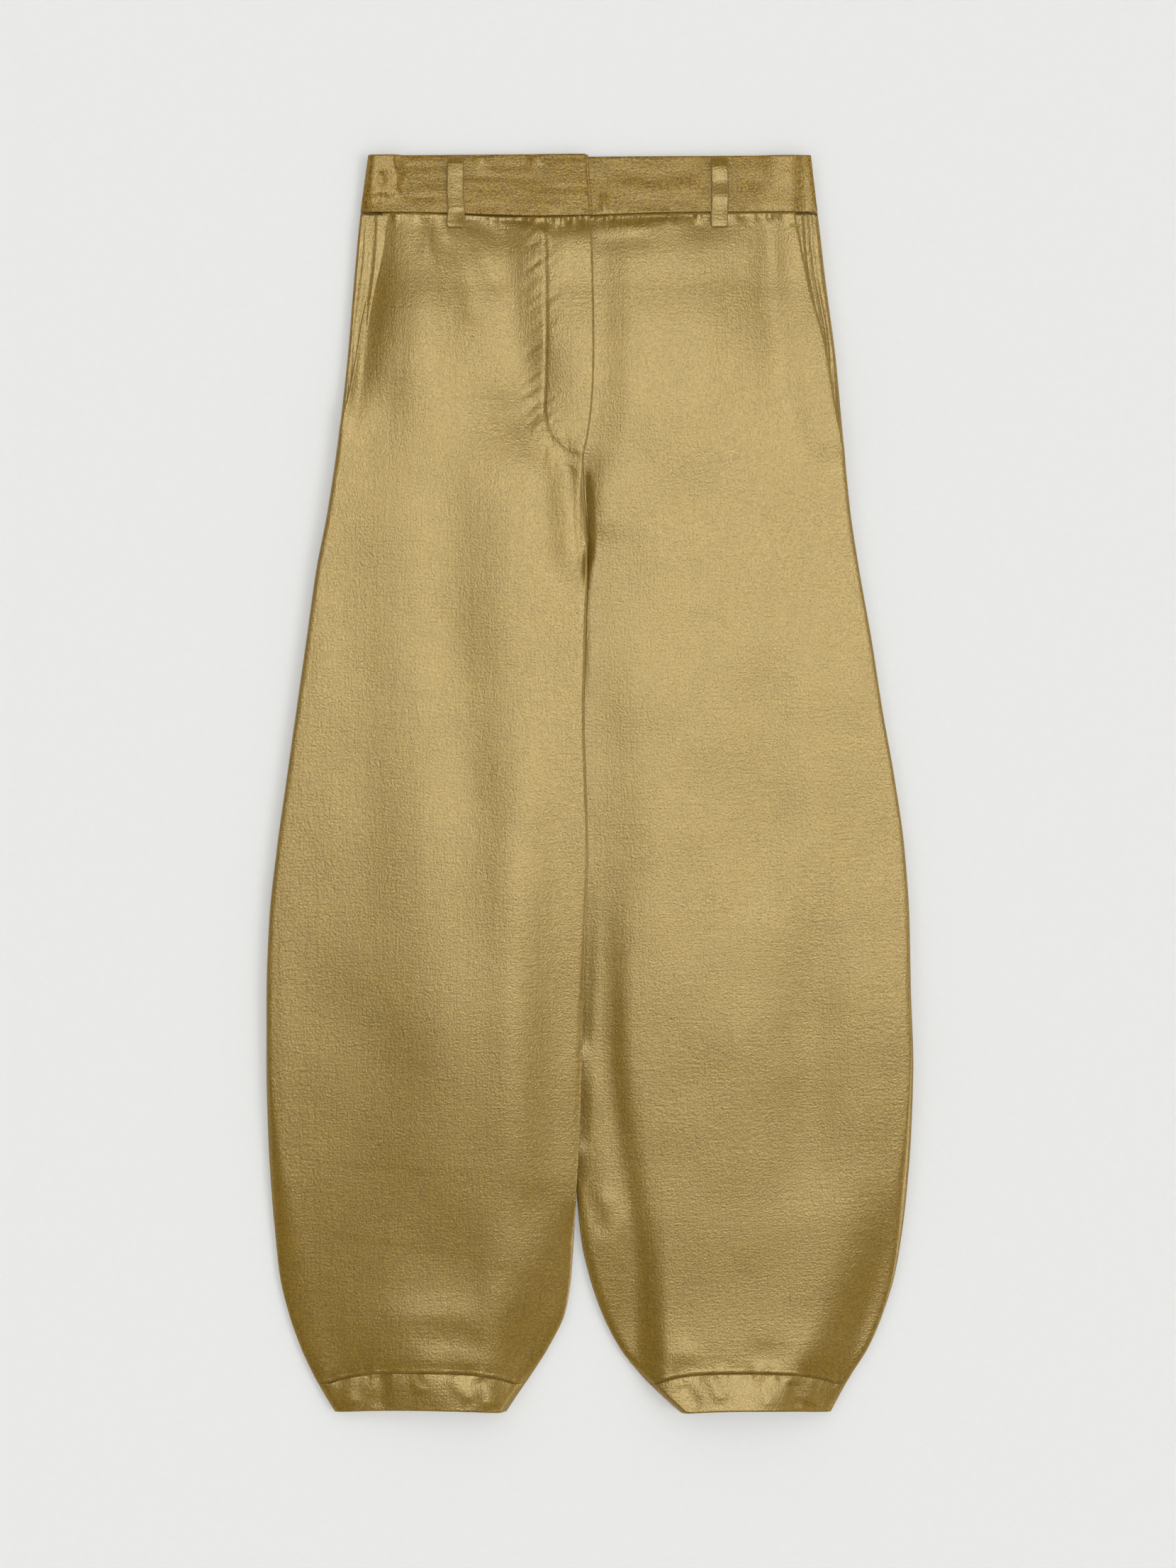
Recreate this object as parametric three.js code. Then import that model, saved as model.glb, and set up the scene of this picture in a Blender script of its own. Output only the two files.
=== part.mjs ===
// Barrel-leg satin trousers laid flat on their back, front up, as a folded-flat garment lies on a table.
// Millimetres. +X is towards the wearer's left leg, +Y towards the waist, +Z up from the table.
// "down" is the distance from the waistband's top edge towards the hems.
import * as THREE from "three";

// Driving sizes
const LENGTH = 1048; // waistband to hem
const BAND_DEEP = 48.8; // waistband, top edge to seam, at the side
const BAND_SAG = { deeper: 3.4, x: -35, halfWidth: 75 }; // the seam dips near the front's centre
const CROTCH = 297; // front rise, waistband's top edge to the crotch
const CLOTH = 1.4; // wall of a cloth panel
const BAND_WALL = 1.9; // doubled and interfaced waistband
const HEM_WALL = 1.9; // turned-up, doubled hem
const HEM_DEEP = 33;
const HEM_RISE = 9; // how much further down the hem's stitching lies at its ends
const HEM_SAG = 1.6; // how much shorter the hem is in its middle
const LOOP_WALL = 1.0; // belt loop
const SEAM = 0.3; // parting between sewn pieces
const EDGE_ROLL = 6; // how far in a pressed edge starts to turn down
const MID_Y = LENGTH / 2; // puts the origin under the middle of the garment

// Belt loops
const LOOP_WIDE = 14;
const LOOP_TOP = 2.5; // down from the waistband's top edge
const LOOP_END = 62;
const LOOP_SEWN = 4; // length sewn down at each end
const LOOP_RISE = 1.5; // room behind the loop
const FRONT_LOOP_X = { right: -112, left: 108 };
const BACK_LOOP_X = 126;
const BACK_LOOP_ROOM = LOOP_WALL + SEAM; // the back rests on its loops at the waist
const LOOPS_FADE = [66, 112]; // where the back comes down from them to the table

// Waistband, up from the table
const BAND_ROOM = 1.0;
const BAND_UNDERLAP = 14;
const BAND_BACK_LOW = BACK_LOOP_ROOM;
const BAND_FRONT_LOW = BAND_BACK_LOW + BAND_WALL + BAND_ROOM;
const BAND_SEAM_AT = BAND_BACK_LOW + BAND_WALL + BAND_ROOM / 2;
const BAND_TUCKED_LOW = BAND_BACK_LOW + BAND_WALL + SEAM;
const BAND_LAP_LOW = BAND_TUCKED_LOW + BAND_WALL + SEAM;
const BAND_TOP_RIGHT = { side: 1.2, centre: 0 };
const BAND_TOP_LEFT = { side: 1.2, centre: 2.4 };
const BAND_TOP_BACK = { side: 1.4, centre: 2.4 };
const BAND_TUCK_FADE = [4, 44];
const BAND_LAP_FADE = [-60, -20];

// Fly and pockets
const FLY_END = 254; // where the curved fly stitching meets the centre seam
const FLY_UNDERLAP = 12;
const FLY_BAND_ROOM = 0.9; // the fly rises to the lapped waistband
const FLY_BAND_FADE = [62, 110];
const FLY_BELOW = [FLY_END, FLY_END + 34];
const FLY_BESIDE = [18, 48];
const FLY_UNDER = [1, 34];
const FLY_SEAMED = [FLY_END - 32, FLY_END - 12];
const FACING_TOP = 52;
const FACING_TUCK = 12; // pocket facing that runs on under the front
const FACING_BESIDE = [FACING_TUCK + 3, FACING_TUCK + 30];
const POCKET_END = { right: 218, left: 235 };
const POCKET_TURN = 26; // below the pocket the front turns down to the side seam over this length
const POCKET_CLOSE = 12; // and reaches the side seam over this one

// Room between the back's inside and the front's inside
const ROOM = 2.0;
const ROOM_EDGE = 2.2;
const ROOM_LEAST = 0.35;
const ROOM_MOST = 3.85;
const ROOM_FACING = 1.2;
const ROOM_POCKET = ROOM_FACING + CLOTH + SEAM;
const ROOM_UNDER_FLY = 0.5;
const ROOM_FLY = ROOM_UNDER_FLY + CLOTH + SEAM;
const SIDE_BESIDE = [4, 34];
const INSEAM_BESIDE = [4, 30];
const LEGS_BEGIN = [CROTCH - 20, CROTCH + 30];

// The right leg's inner edge lies on the left leg
const OVERLAP_FROM = 330;
const OVERLAP_TO = 866;
const ROOM_TUCKED = 1.0;
const LEG_LIFT = 2 * CLOTH + ROOM_TUCKED + SEAM;
const LIFT_START = [CROTCH + 8, OVERLAP_FROM];
const LIFT_STOP = [OVERLAP_TO, OVERLAP_TO + 44];
const LIFT_RAMP = [-28, -4];
const TUCK_START = [CROTCH + 4, OVERLAP_FROM];
const TUCK_STOP = [OVERLAP_TO, OVERLAP_TO + 30];
const TUCK_BESIDE = [2, 34];
const OVERLAP_GROWS = [OVERLAP_FROM, OVERLAP_FROM + 45];
const INSEAM_PARTS = [CROTCH - 4, OVERLAP_FROM - 4];

function table(columns, rows) {
  const names = columns.split(" ");
  return rows.map((row) => Object.fromEntries(names.map((name, i) => [name, row[i]])));
}

// The legs' edges seen from above. right and left are the wearer's; the inner edges start at the crotch.
const LEGS = table("down outerRight innerRight innerLeft outerLeft", [
  [0, -184.6, -3.4, -3.1, 184.0],
  [50, -191.2, -3.4, -3.1, 189.8],
  [109, -196.9, -3.4, -3.1, 196.8],
  [168, -201.8, -3.4, -3.1, 204.6],
  [227, -208.4, -4.8, -4.5, 210.2],
  [297, -218.6, -3.3, -3.0, 217.0],
  [345, -227.8, -1.9, -4.2, 224.2],
  [404, -236.2, -3.4, -6.6, 234.6],
  [463, -244.6, -4.6, -9.6, 243.8],
  [522, -253.0, -3.2, -12.0, 254.2],
  [581, -261.2, -1.6, -13.6, 262.4],
  [640, -267.4, -3.4, -14.8, 266.4],
  [699, -269.5, -5.2, -15.4, 267.6],
  [758, -269.6, -6.8, -15.6, 269.6],
  [817, -268.2, -8.6, -14.4, 267.8],
  [866, -265.3, -11.4, -11.0, 264.0],
  [905, -261.8, -13.6, -7.2, 259.2],
  [935, -258.4, -15.6, -0.6, 253.8],
  [964, -251.6, -20.2, 9.2, 245.0],
  [994, -241.3, -34.2, 24.2, 232.4],
  [1018, -230.2, -49.4, 42.9, 217.4],
  [1034, -221.2, -60.4, 59.0, 208.2],
  [1048, -212.6, -69.6, 74.6, 200.8],
]);

// The strip of pocket facing that shows outside each front's slanted edge.
const POCKET_STRIP = table("down right left", [
  [50, 17.4, 18.8],
  [92, 13.6, 15.6],
  [120, 10.6, 12.6],
  [150, 8.0, 8.2],
  [180, 5.8, 5.6],
  [205, 3.2, 4.2],
  [218, 0.8, 3.0],
  [235, 0.8, 0.8],
]);

// The right front's centre edge: the fly's folded edge down to the end of the fly, then the centre seam.
const FLY_EDGE = table("down x", [
  [0, -3.6],
  [50, 0.2],
  [83, 2.4],
  [164, 3.7],
  [192, 3.0],
  [216, 1.2],
  [236, -1.8],
  [254, -5.6],
  [275, -5.2],
  [297, -3.3],
]);
const CENTRE_SEAM_X = -3.2; // the back's centre seam lies straight under the fly

// How far in each leg's edges start to turn down: the calves turn softly, the rest is pressed.
const TURN = table("down outerRight innerRight innerLeft outerLeft", [
  [0, 6, 6, 6, 6],
  [600, 7, 6, 6, 7],
  [760, 12, 12, 6, 9],
  [880, 20, 26, 8, 16],
  [960, 26, 30, 9, 24],
  [1015, 12, 12, 7, 12],
  [1048, 7, 7, 7, 7],
]);

// The largest soft folds of the fronts, each a ridge (height above 0) or a trough along a line.
const FOLDS = table("fromX fromDown toX toDown halfWidth height", [
  [-150, 66, -112, 190, 20, 0.8],
  [-118, 62, -60, 168, 13, -1.0],
  [-60, 168, -44, 246, 12, -0.9],
  [-150, 300, -128, 480, 34, 1.5],
  [-128, 480, -124, 730, 30, 1.5],
  [-76, 290, -80, 860, 20, -1.2],
  [-222, 430, -232, 840, 26, -0.7],
  [-142, 820, -120, 985, 24, 1.0],
  [-84, 880, -96, 1005, 13, -0.9],
  [64, 90, 74, 300, 40, 0.9],
  [58, 300, 52, 640, 36, 1.3],
  [150, 380, 140, 620, 24, -1.0],
  [216, 400, 224, 610, 24, 0.9],
  [14, 690, 24, 985, 10, 1.0],
  [27, 640, 32, 830, 11, -1.5],
  [32, 830, 52, 990, 12, -1.5],
  [100, 660, 110, 980, 38, 1.2],
  [192, 700, 194, 900, 22, -1.1],
  [62, 1000, 112, 992, 8, 0.8],
  [150, 985, 196, 1006, 9, -0.8],
]);

// A front belt loop, sewn down at both ends and clear of the band between them.
const LOOP_PATH = table("down rise", [
  [LOOP_TOP, SEAM],
  [LOOP_TOP + LOOP_SEWN, SEAM],
  [LOOP_TOP + 2 * LOOP_SEWN, LOOP_RISE],
  [20, LOOP_RISE],
  [36, LOOP_RISE],
  [50, LOOP_RISE],
  [LOOP_END - 2 * LOOP_SEWN, LOOP_RISE],
  [LOOP_END - LOOP_SEWN, SEAM],
  [LOOP_END, SEAM],
]);

// Where the leg panels' rows lie, closer together where the shape changes quickly.
const LEG_ROWS = [
  50, 60, 80, 104, 130, 156, 182, 204, 219, 234, 246, 262, 280, 297, 314, 330, 352, 376, 420, 470, 520, 572, 624,
  676, 728, 776, 820, 848, 866, 882, 898, 914, 940, 966, 992, 1015,
];
const PANEL_STRIPS = 12; // across each front and back
const BACK_BAND_STRIPS = 16;
const BAND_ROWS = [0, 1, 2, 3];
const HEM_ROWS = [0, 1, 2, 3];
const FACING_ROWS = Array.from({ length: 12 }, (_, row) => row);

// Steps of a turned edge, as shares of how far in it turns.
const TURN_STEPS = [0, 0.04, 0.16, 0.45, 1];
const TURN_MOST = 0.4; // of the panel's width

const mix = (a, b, t) => a + (b - a) * t;
const clamp = (x, low, high) => Math.min(high, Math.max(low, x));
const bump = (x, halfWidth) => Math.exp(-((x / halfWidth) ** 2));

// 0 before the range, 1 after it, and a soft step between.
function fade([from, to], x) {
  const t = clamp((x - from) / (to - from), 0, 1);
  return t * t * (3 - 2 * t);
}

// A smooth curve through one column of a table, with no overshoot between its rows.
function track(rows, column) {
  const at = rows.map((row) => row.down);
  const value = rows.map((row) => row[column]);
  const rise = value.slice(1).map((v, i) => (v - value[i]) / (at[i + 1] - at[i]));
  const slope = value.map((_, i) => {
    const before = rise[Math.max(0, i - 1)];
    const after = rise[Math.min(rise.length - 1, i)];
    return before * after <= 0 ? 0 : (2 * before * after) / (before + after);
  });
  return (down) => {
    const d = clamp(down, at[0], at[at.length - 1]);
    const i = Math.max(0, at.findIndex((row) => row >= d) - 1);
    const span = at[i + 1] - at[i];
    const t = (d - at[i]) / span;
    const keep = (1 + 2 * t) * (1 - t) ** 2;
    const lead = t * (1 - t) ** 2 * span;
    const tail = t * t * (t - 1) * span;
    return keep * value[i] + (1 - keep) * value[i + 1] + lead * slope[i] + tail * slope[i + 1];
  };
}

const LEG_EDGES = ["outerRight", "innerRight", "innerLeft", "outerLeft"];
const edge = Object.fromEntries(LEG_EDGES.map((name) => [name, track(LEGS, name)]));
const turn = Object.fromEntries(LEG_EDGES.map((name) => [name, track(TURN, name)]));
const strip = { right: track(POCKET_STRIP, "right"), left: track(POCKET_STRIP, "left") };
const flyEdge = track(FLY_EDGE, "x");

const waistSeam = (x) => BAND_DEEP + BAND_SAG.deeper * bump(x - BAND_SAG.x, BAND_SAG.halfWidth);
const hemSeam = (share) => LENGTH - HEM_DEEP + HEM_RISE * Math.abs(2 * share - 1) ** 3;
const hemEdge = (share) => LENGTH - HEM_SAG + HEM_SAG * (2 * share - 1) ** 2;

// The right front's inner edge, the back's centre seam, and the left leg's inner edge.
const centreRight = (down) => (down < CROTCH ? flyEdge(down) : edge.innerRight(down));
const centreSeam = (down) => Math.min(CENTRE_SEAM_X, flyEdge(Math.max(down, FLY_END)));

function leftLegEdge(down) {
  const beside = centreRight(down) + SEAM;
  if (down >= OVERLAP_TO) {
    return Math.max(edge.innerLeft(down), beside);
  }
  return mix(beside, Math.min(edge.innerLeft(down), beside), fade(OVERLAP_GROWS, down));
}

// How high the back's underside is held: by the belt loops, and where one leg lies on the other.
function liftOf(side, x, down) {
  const onLoops = BACK_LOOP_ROOM * (1 - fade(LOOPS_FADE, down));
  if (side === "left") {
    return onLoops;
  }
  const along = fade(LIFT_START, down) * (1 - fade(LIFT_STOP, down));
  return onLoops + LEG_LIFT * along * fade(LIFT_RAMP, x - leftLegEdge(down));
}

// Height of the folds at a point of the fronts.
function foldsAt(x, down) {
  let height = 0;
  for (const fold of FOLDS) {
    const runX = fold.toX - fold.fromX;
    const runDown = fold.toDown - fold.fromDown;
    const along = (x - fold.fromX) * runX + (down - fold.fromDown) * runDown;
    const t = clamp(along / (runX ** 2 + runDown ** 2), 0, 1);
    const away = Math.hypot(x - fold.fromX - t * runX, down - fold.fromDown - t * runDown);
    height += fold.height * bump(away, fold.halfWidth);
  }
  return height;
}

// Room for the pocket facing under the front's slanted edge.
function pocketRoom(side, room, fromOuter, down) {
  const below = fade([POCKET_END[side], POCKET_END[side] + POCKET_TURN], down);
  const inside = fade(FACING_BESIDE, fromOuter - strip[side](down));
  return mix(room, Math.max(room, ROOM_POCKET), (1 - below) * (1 - inside));
}

// The right front rises over the left one's underlap, which lies close on the back.
function flyRoom(side, room, x, down) {
  const fly = 1 - fade(FLY_BELOW, down);
  const beyond = x - flyEdge(down);
  if (side === "right") {
    const over = ROOM_FLY + FLY_BAND_ROOM * (1 - fade(FLY_BAND_FADE, down));
    return mix(room, Math.max(room, over), fly * (1 - fade(FLY_BESIDE, -beyond)));
  }
  return mix(room, ROOM_UNDER_FLY, fly * (1 - fade(FLY_UNDER, beyond)));
}

// Room between the two insides of one half of the garment.
function roomOf(side, x, down) {
  const right = side === "right";
  const outer = right ? edge.outerRight(down) : edge.outerLeft(down);
  const inner = right ? edge.innerRight(down) : leftLegEdge(down);
  const fromOuter = Math.abs(x - outer);
  const soft = mix(ROOM_EDGE, ROOM + foldsAt(x, down), fade(SIDE_BESIDE, fromOuter));
  const sewn = mix(ROOM_EDGE, soft, fade(INSEAM_BESIDE, Math.abs(x - inner)));
  let room = mix(soft, sewn, fade(LEGS_BEGIN, down));
  room = pocketRoom(side, room, fromOuter, down);
  room = flyRoom(side, room, x, down);
  if (!right) {
    const tucked = fade(TUCK_START, down) * (1 - fade(TUCK_STOP, down));
    room = mix(room, ROOM_TUCKED, tucked * (1 - fade(TUCK_BESIDE, x - edge.innerRight(down))));
  }
  return clamp(room, ROOM_LEAST, ROOM_MOST);
}

const backTop = (side, x, down) => liftOf(side, x, down) + CLOTH;
const frontLow = (side, x, down) => backTop(side, x, down) + roomOf(side, x, down);
const facingLow = (side, x, down) => backTop(side, x, down) + ROOM_FACING;

// Closed wall between an upper and a lower grid of points, rows running down and columns towards +X.
function wall(upper, lower) {
  const rows = upper.length;
  const columns = upper[0].length;
  const count = rows * columns;
  const at = (i, j) => i * columns + j;
  const faces = [];
  for (let i = 0; i + 1 < rows; i++) {
    for (let j = 0; j + 1 < columns; j++) {
      const [a, b, c, d] = [at(i, j), at(i, j + 1), at(i + 1, j + 1), at(i + 1, j)];
      faces.push(a, d, c, a, c, b);
      faces.push(count + a, count + c, count + d, count + a, count + b, count + c);
    }
  }
  const rim = [];
  for (let i = 0; i + 1 < rows; i++) rim.push(at(i, 0));
  for (let j = 0; j + 1 < columns; j++) rim.push(at(rows - 1, j));
  for (let i = rows - 1; i > 0; i--) rim.push(at(i, columns - 1));
  for (let j = columns - 1; j > 0; j--) rim.push(at(0, j));
  rim.forEach((a, n) => {
    const b = rim[(n + 1) % rim.length];
    faces.push(b, a, count + a, b, count + a, count + b);
  });
  const geometry = new THREE.BufferGeometry();
  const points = [...upper.flat(), ...lower.flat()].flat();
  geometry.setAttribute("position", new THREE.Float32BufferAttribute(points, 3));
  geometry.setIndex(faces);
  geometry.computeVertexNormals();
  return geometry;
}

// The share of a turned edge's drop that is left at a share of its reach: a quarter round.
const dropAt = (share) => 1 - Math.sqrt(1 - (1 - share) ** 2);

// Upper and lower point of a panel, away from its turned edges.
function flatPoint(shape, x, down) {
  const z = shape.under(x, down);
  return [
    [x, MID_Y - down, z + shape.thick],
    [x, MID_Y - down, z],
  ];
}

// Upper and lower point of a turned edge. A front turns its upper face down round its lower one to the seam,
// and a back turns its lower face up.
function turnedPoint(shape, side, inward, reach, step, down) {
  const full = side.full(down);
  const drop = full * dropAt(step);
  const start = side.x(down);
  const outX = start + inward * step * reach;
  const inX = start + inward * mix(full * shape.thick, reach, step);
  const front = shape.faces === "up";
  const meet = side.seam(down) + (front ? SEAM / 2 : -SEAM / 2);
  const outZ = mix(shape.under(outX, down) + (front ? shape.thick : 0), meet, drop);
  const inZ = mix(shape.under(inX, down) + (front ? 0 : shape.thick), meet, drop);
  const outside = [outX, MID_Y - down, outZ];
  const inside = [inX, MID_Y - down, inZ];
  return front ? [outside, inside] : [inside, outside];
}

// One panel as a wall. low and high are its two sides: x, how far in each turns, how much of the turn it
// takes (0 is a flat cut edge, 1 turns to the seam) and the height of the seam that it turns to.
function panel(shape) {
  const { low, high, from, to, stations, strips } = shape;
  const [first, last] = [stations[0], stations[stations.length - 1]];
  const columns = [];
  TURN_STEPS.forEach((step) => columns.push({ side: low, u: 0, inward: 1, step }));
  for (let n = 1; n < strips; n++) columns.push({ u: n / strips });
  [...TURN_STEPS].reverse().forEach((step) => columns.push({ side: high, u: 1, inward: -1, step }));
  const lowFold = low.x(BAND_DEEP) + low.turn(BAND_DEEP);
  const highFold = high.x(BAND_DEEP) - high.turn(BAND_DEEP);
  const grid = stations.map((station) =>
    columns.map(({ side, u, inward, step }) => {
      const seamX = mix(lowFold, highFold, u);
      const down = mix(from(u, seamX), to(u, seamX), (station - first) / (last - first));
      const most = (high.x(down) - low.x(down)) * TURN_MOST;
      if (side) {
        return turnedPoint(shape, side, inward, Math.min(side.turn(down), most), step, down);
      }
      const a = low.x(down) + Math.min(low.turn(down), most);
      const b = high.x(down) - Math.min(high.turn(down), most);
      return flatPoint(shape, mix(a, b, u), down);
    }),
  );
  const upper = grid.map((row) => row.map((points) => points[0]));
  const lower = grid.map((row) => row.map((points) => points[1]));
  return wall(upper, lower);
}

const flat = () => 0;
const whole = () => 1;
const pressed = () => EDGE_ROLL;

// Height of a leg's seam: half way between the insides just within its edge, or under the pocket facing.
function seamHeight(side, outer, x, down) {
  const inward = (side === "right") === outer ? 1 : -1;
  const at = x(down) + inward * EDGE_ROLL;
  const pocket = outer ? 1 - fade([POCKET_END[side] + 1, POCKET_END[side] + POCKET_TURN], down) : 0;
  return backTop(side, at, down) + mix(roomOf(side, at, down), ROOM_FACING, pocket) / 2;
}

// A side of a leg panel: its side seam (outer) or its inseam.
function legSide(side, which) {
  const name = which + (side === "right" ? "Right" : "Left");
  const x = name === "innerLeft" ? leftLegEdge : edge[name];
  const seam = (down) => seamHeight(side, which === "outer", x, down);
  return { x, turn: turn[name], full: whole, seam };
}

const inseamTurns = (down) => fade(INSEAM_PARTS, down);

// The two sides in the order of their x.
function inOrder(side, outer, inner) {
  return side === "right" ? { low: outer, high: inner } : { low: inner, high: outer };
}

// The front's slanted pocket edge, which below the pocket comes out to the side seam.
function pocketEdge(side) {
  const outer = legSide(side, "outer");
  const inward = side === "right" ? 1 : -1;
  const end = POCKET_END[side];
  const x = (down) => {
    const closed = 1 - fade([end, end + POCKET_CLOSE], down);
    return outer.x(down) + inward * strip[side](Math.min(down, end)) * closed;
  };
  return { ...outer, x, full: (down) => fade([end, end + POCKET_TURN], down) };
}

// The left front's centre edge: its underlap behind the fly, the centre seam, then the inseam.
function leftFrontCentre(down) {
  if (down >= CROTCH) {
    return leftLegEdge(down);
  }
  return mix(flyEdge(down) - FLY_UNDERLAP, flyEdge(down) + SEAM, fade(FLY_SEAMED, down));
}

function frontPanel(side) {
  const x = side === "right" ? centreRight : leftFrontCentre;
  const inner = { ...legSide(side, "inner"), full: inseamTurns, x };
  return panel({
    ...inOrder(side, pocketEdge(side), inner),
    from: (u, seamX) => waistSeam(seamX) + SEAM,
    to: hemSeam,
    under: (at, down) => frontLow(side, at, down),
    thick: CLOTH,
    stations: LEG_ROWS,
    strips: PANEL_STRIPS,
    faces: "up",
  });
}

function backPanel(side) {
  const inseam = legSide(side, "inner");
  const besideSeam = side === "right" ? 0 : SEAM;
  const x = (down) => (down < CROTCH ? centreSeam(down) + besideSeam : inseam.x(down));
  return panel({
    ...inOrder(side, legSide(side, "outer"), { ...inseam, full: inseamTurns, x }),
    from: (u, seamX) => waistSeam(seamX) + SEAM,
    to: hemSeam,
    under: (at, down) => liftOf(side, at, down),
    thick: CLOTH,
    stations: LEG_ROWS,
    strips: PANEL_STRIPS,
    faces: "down",
  });
}

// Hem band of one leg, its upper (front) or lower (back) half.
function hemBand(side, face) {
  const front = face === "front";
  return panel({
    ...inOrder(side, legSide(side, "outer"), legSide(side, "inner")),
    from: (u) => hemSeam(u) + SEAM,
    to: hemEdge,
    under: (x, down) => (front ? frontLow(side, x, down) : liftOf(side, x, down)),
    thick: front ? HEM_WALL : CLOTH,
    stations: HEM_ROWS,
    strips: PANEL_STRIPS,
    faces: front ? "up" : "down",
  });
}

// The pocket facing that shows between the front's slanted edge and the side seam.
function pocketFacing(side) {
  const outer = legSide(side, "outer");
  const inward = side === "right" ? 1 : -1;
  const x = (down) => outer.x(down) + inward * (strip[side](down) + FACING_TUCK);
  return panel({
    ...inOrder(side, outer, { x, turn: pressed, full: flat, seam: flat }),
    from: () => FACING_TOP,
    to: () => POCKET_END[side] - SEAM,
    under: (at, down) => facingLow(side, at, down),
    thick: CLOTH,
    stations: FACING_ROWS,
    strips: 2,
    faces: "up",
  });
}

// The left end of the waistband lies close on its back, and the right end laps over it.
function bandLow(side, x, down) {
  const beyond = x - flyEdge(down);
  if (side === "left") {
    return mix(BAND_TUCKED_LOW, BAND_FRONT_LOW, fade(BAND_TUCK_FADE, beyond));
  }
  return mix(BAND_FRONT_LOW, BAND_LAP_LOW, fade(BAND_LAP_FADE, beyond));
}

const bandSide = (name) => ({ x: edge[name], turn: pressed, full: whole, seam: () => BAND_SEAM_AT });
const bandEnd = (x) => ({ x, turn: pressed, full: flat, seam: flat });

function waistbandFront(side) {
  const right = side === "right";
  const top = right ? BAND_TOP_RIGHT : BAND_TOP_LEFT;
  const outer = bandSide(right ? "outerRight" : "outerLeft");
  const inner = bandEnd(right ? flyEdge : (down) => flyEdge(down) - BAND_UNDERLAP);
  return panel({
    ...inOrder(side, outer, inner),
    from: (u) => mix(top.side, top.centre, right ? u : 1 - u),
    to: (u, seamX) => waistSeam(seamX),
    under: (x, down) => bandLow(side, x, down),
    thick: BAND_WALL,
    stations: BAND_ROWS,
    strips: PANEL_STRIPS,
    faces: "up",
  });
}

function waistbandBack() {
  return panel({
    low: bandSide("outerRight"),
    high: bandSide("outerLeft"),
    from: (u) => mix(BAND_TOP_BACK.centre, BAND_TOP_BACK.side, (2 * u - 1) ** 2),
    to: (u, seamX) => waistSeam(seamX),
    under: () => BAND_BACK_LOW,
    thick: BAND_WALL,
    stations: BAND_ROWS,
    strips: BACK_BAND_STRIPS,
    faces: "down",
  });
}

// A front belt loop's lower end is sewn to the front, just below the waistband.
function frontLoop(side) {
  const xs = [-0.5, 0, 0.5].map((share) => FRONT_LOOP_X[side] + share * LOOP_WIDE);
  const onFront = (down) => down >= LOOP_END - LOOP_SEWN;
  const bandTop = BAND_FRONT_LOW + BAND_WALL;
  const ground = (x, down) => (onFront(down) ? frontLow(side, x, down) + CLOTH : bandTop);
  const lower = LOOP_PATH.map(({ down, rise }) => xs.map((x) => [x, MID_Y - down, ground(x, down) + rise]));
  const upper = lower.map((row) => row.map(([x, y, z]) => [x, y, z + LOOP_WALL]));
  return wall(upper, lower);
}

function backLoop(centre) {
  const loop = new THREE.BoxGeometry(LOOP_WIDE, LOOP_END - LOOP_TOP, LOOP_WALL);
  return loop.translate(centre, MID_Y - (LOOP_END + LOOP_TOP) / 2, LOOP_WALL / 2);
}

const satin = new THREE.MeshStandardMaterial({ color: "#b0985f", roughness: 0.45, metalness: 0.1 });
const bandSatin = new THREE.MeshStandardMaterial({ color: "#93793c", roughness: 0.5, metalness: 0.1 });

function piece(name, geometry, material = satin) {
  const mesh = new THREE.Mesh(geometry, material);
  mesh.name = name;
  return mesh;
}

function leg(side) {
  const group = new THREE.Group();
  group.add(
    piece(`front_${side}`, frontPanel(side)),
    piece(`back_${side}`, backPanel(side)),
    piece(`pocket_facing_${side}`, pocketFacing(side)),
    piece(`hem_front_${side}`, hemBand(side, "front")),
    piece(`hem_back_${side}`, hemBand(side, "back")),
  );
  return group;
}

function waist() {
  const group = new THREE.Group();
  group.add(
    piece("waistband_front_right", waistbandFront("right"), bandSatin),
    piece("waistband_front_left", waistbandFront("left"), bandSatin),
    piece("waistband_back", waistbandBack(), bandSatin),
    piece("belt_loop_front_right", frontLoop("right")),
    piece("belt_loop_front_left", frontLoop("left")),
    piece("belt_loop_back_right", backLoop(-BACK_LOOP_X)),
    piece("belt_loop_back_centre", backLoop(0)),
    piece("belt_loop_back_left", backLoop(BACK_LOOP_X)),
  );
  return group;
}

const trousers = new THREE.Group();
trousers.add(leg("right"), leg("left"), waist());

export default trousers;
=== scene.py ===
# %% [markdown]
# # Barrel-leg satin trousers, laid flat
#
# The trousers lie on their back on a pale floor, front up, seen from straight above. The model in
# model.glb holds every piece as a stiff wall. Here each piece becomes thin satin on that same form, with
# the creases, puckers and stitches that a sewn garment has. It could be simulated as cloth, but the folds
# would then fall where they like; laid one by one, each one lies where the real one does.

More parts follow.
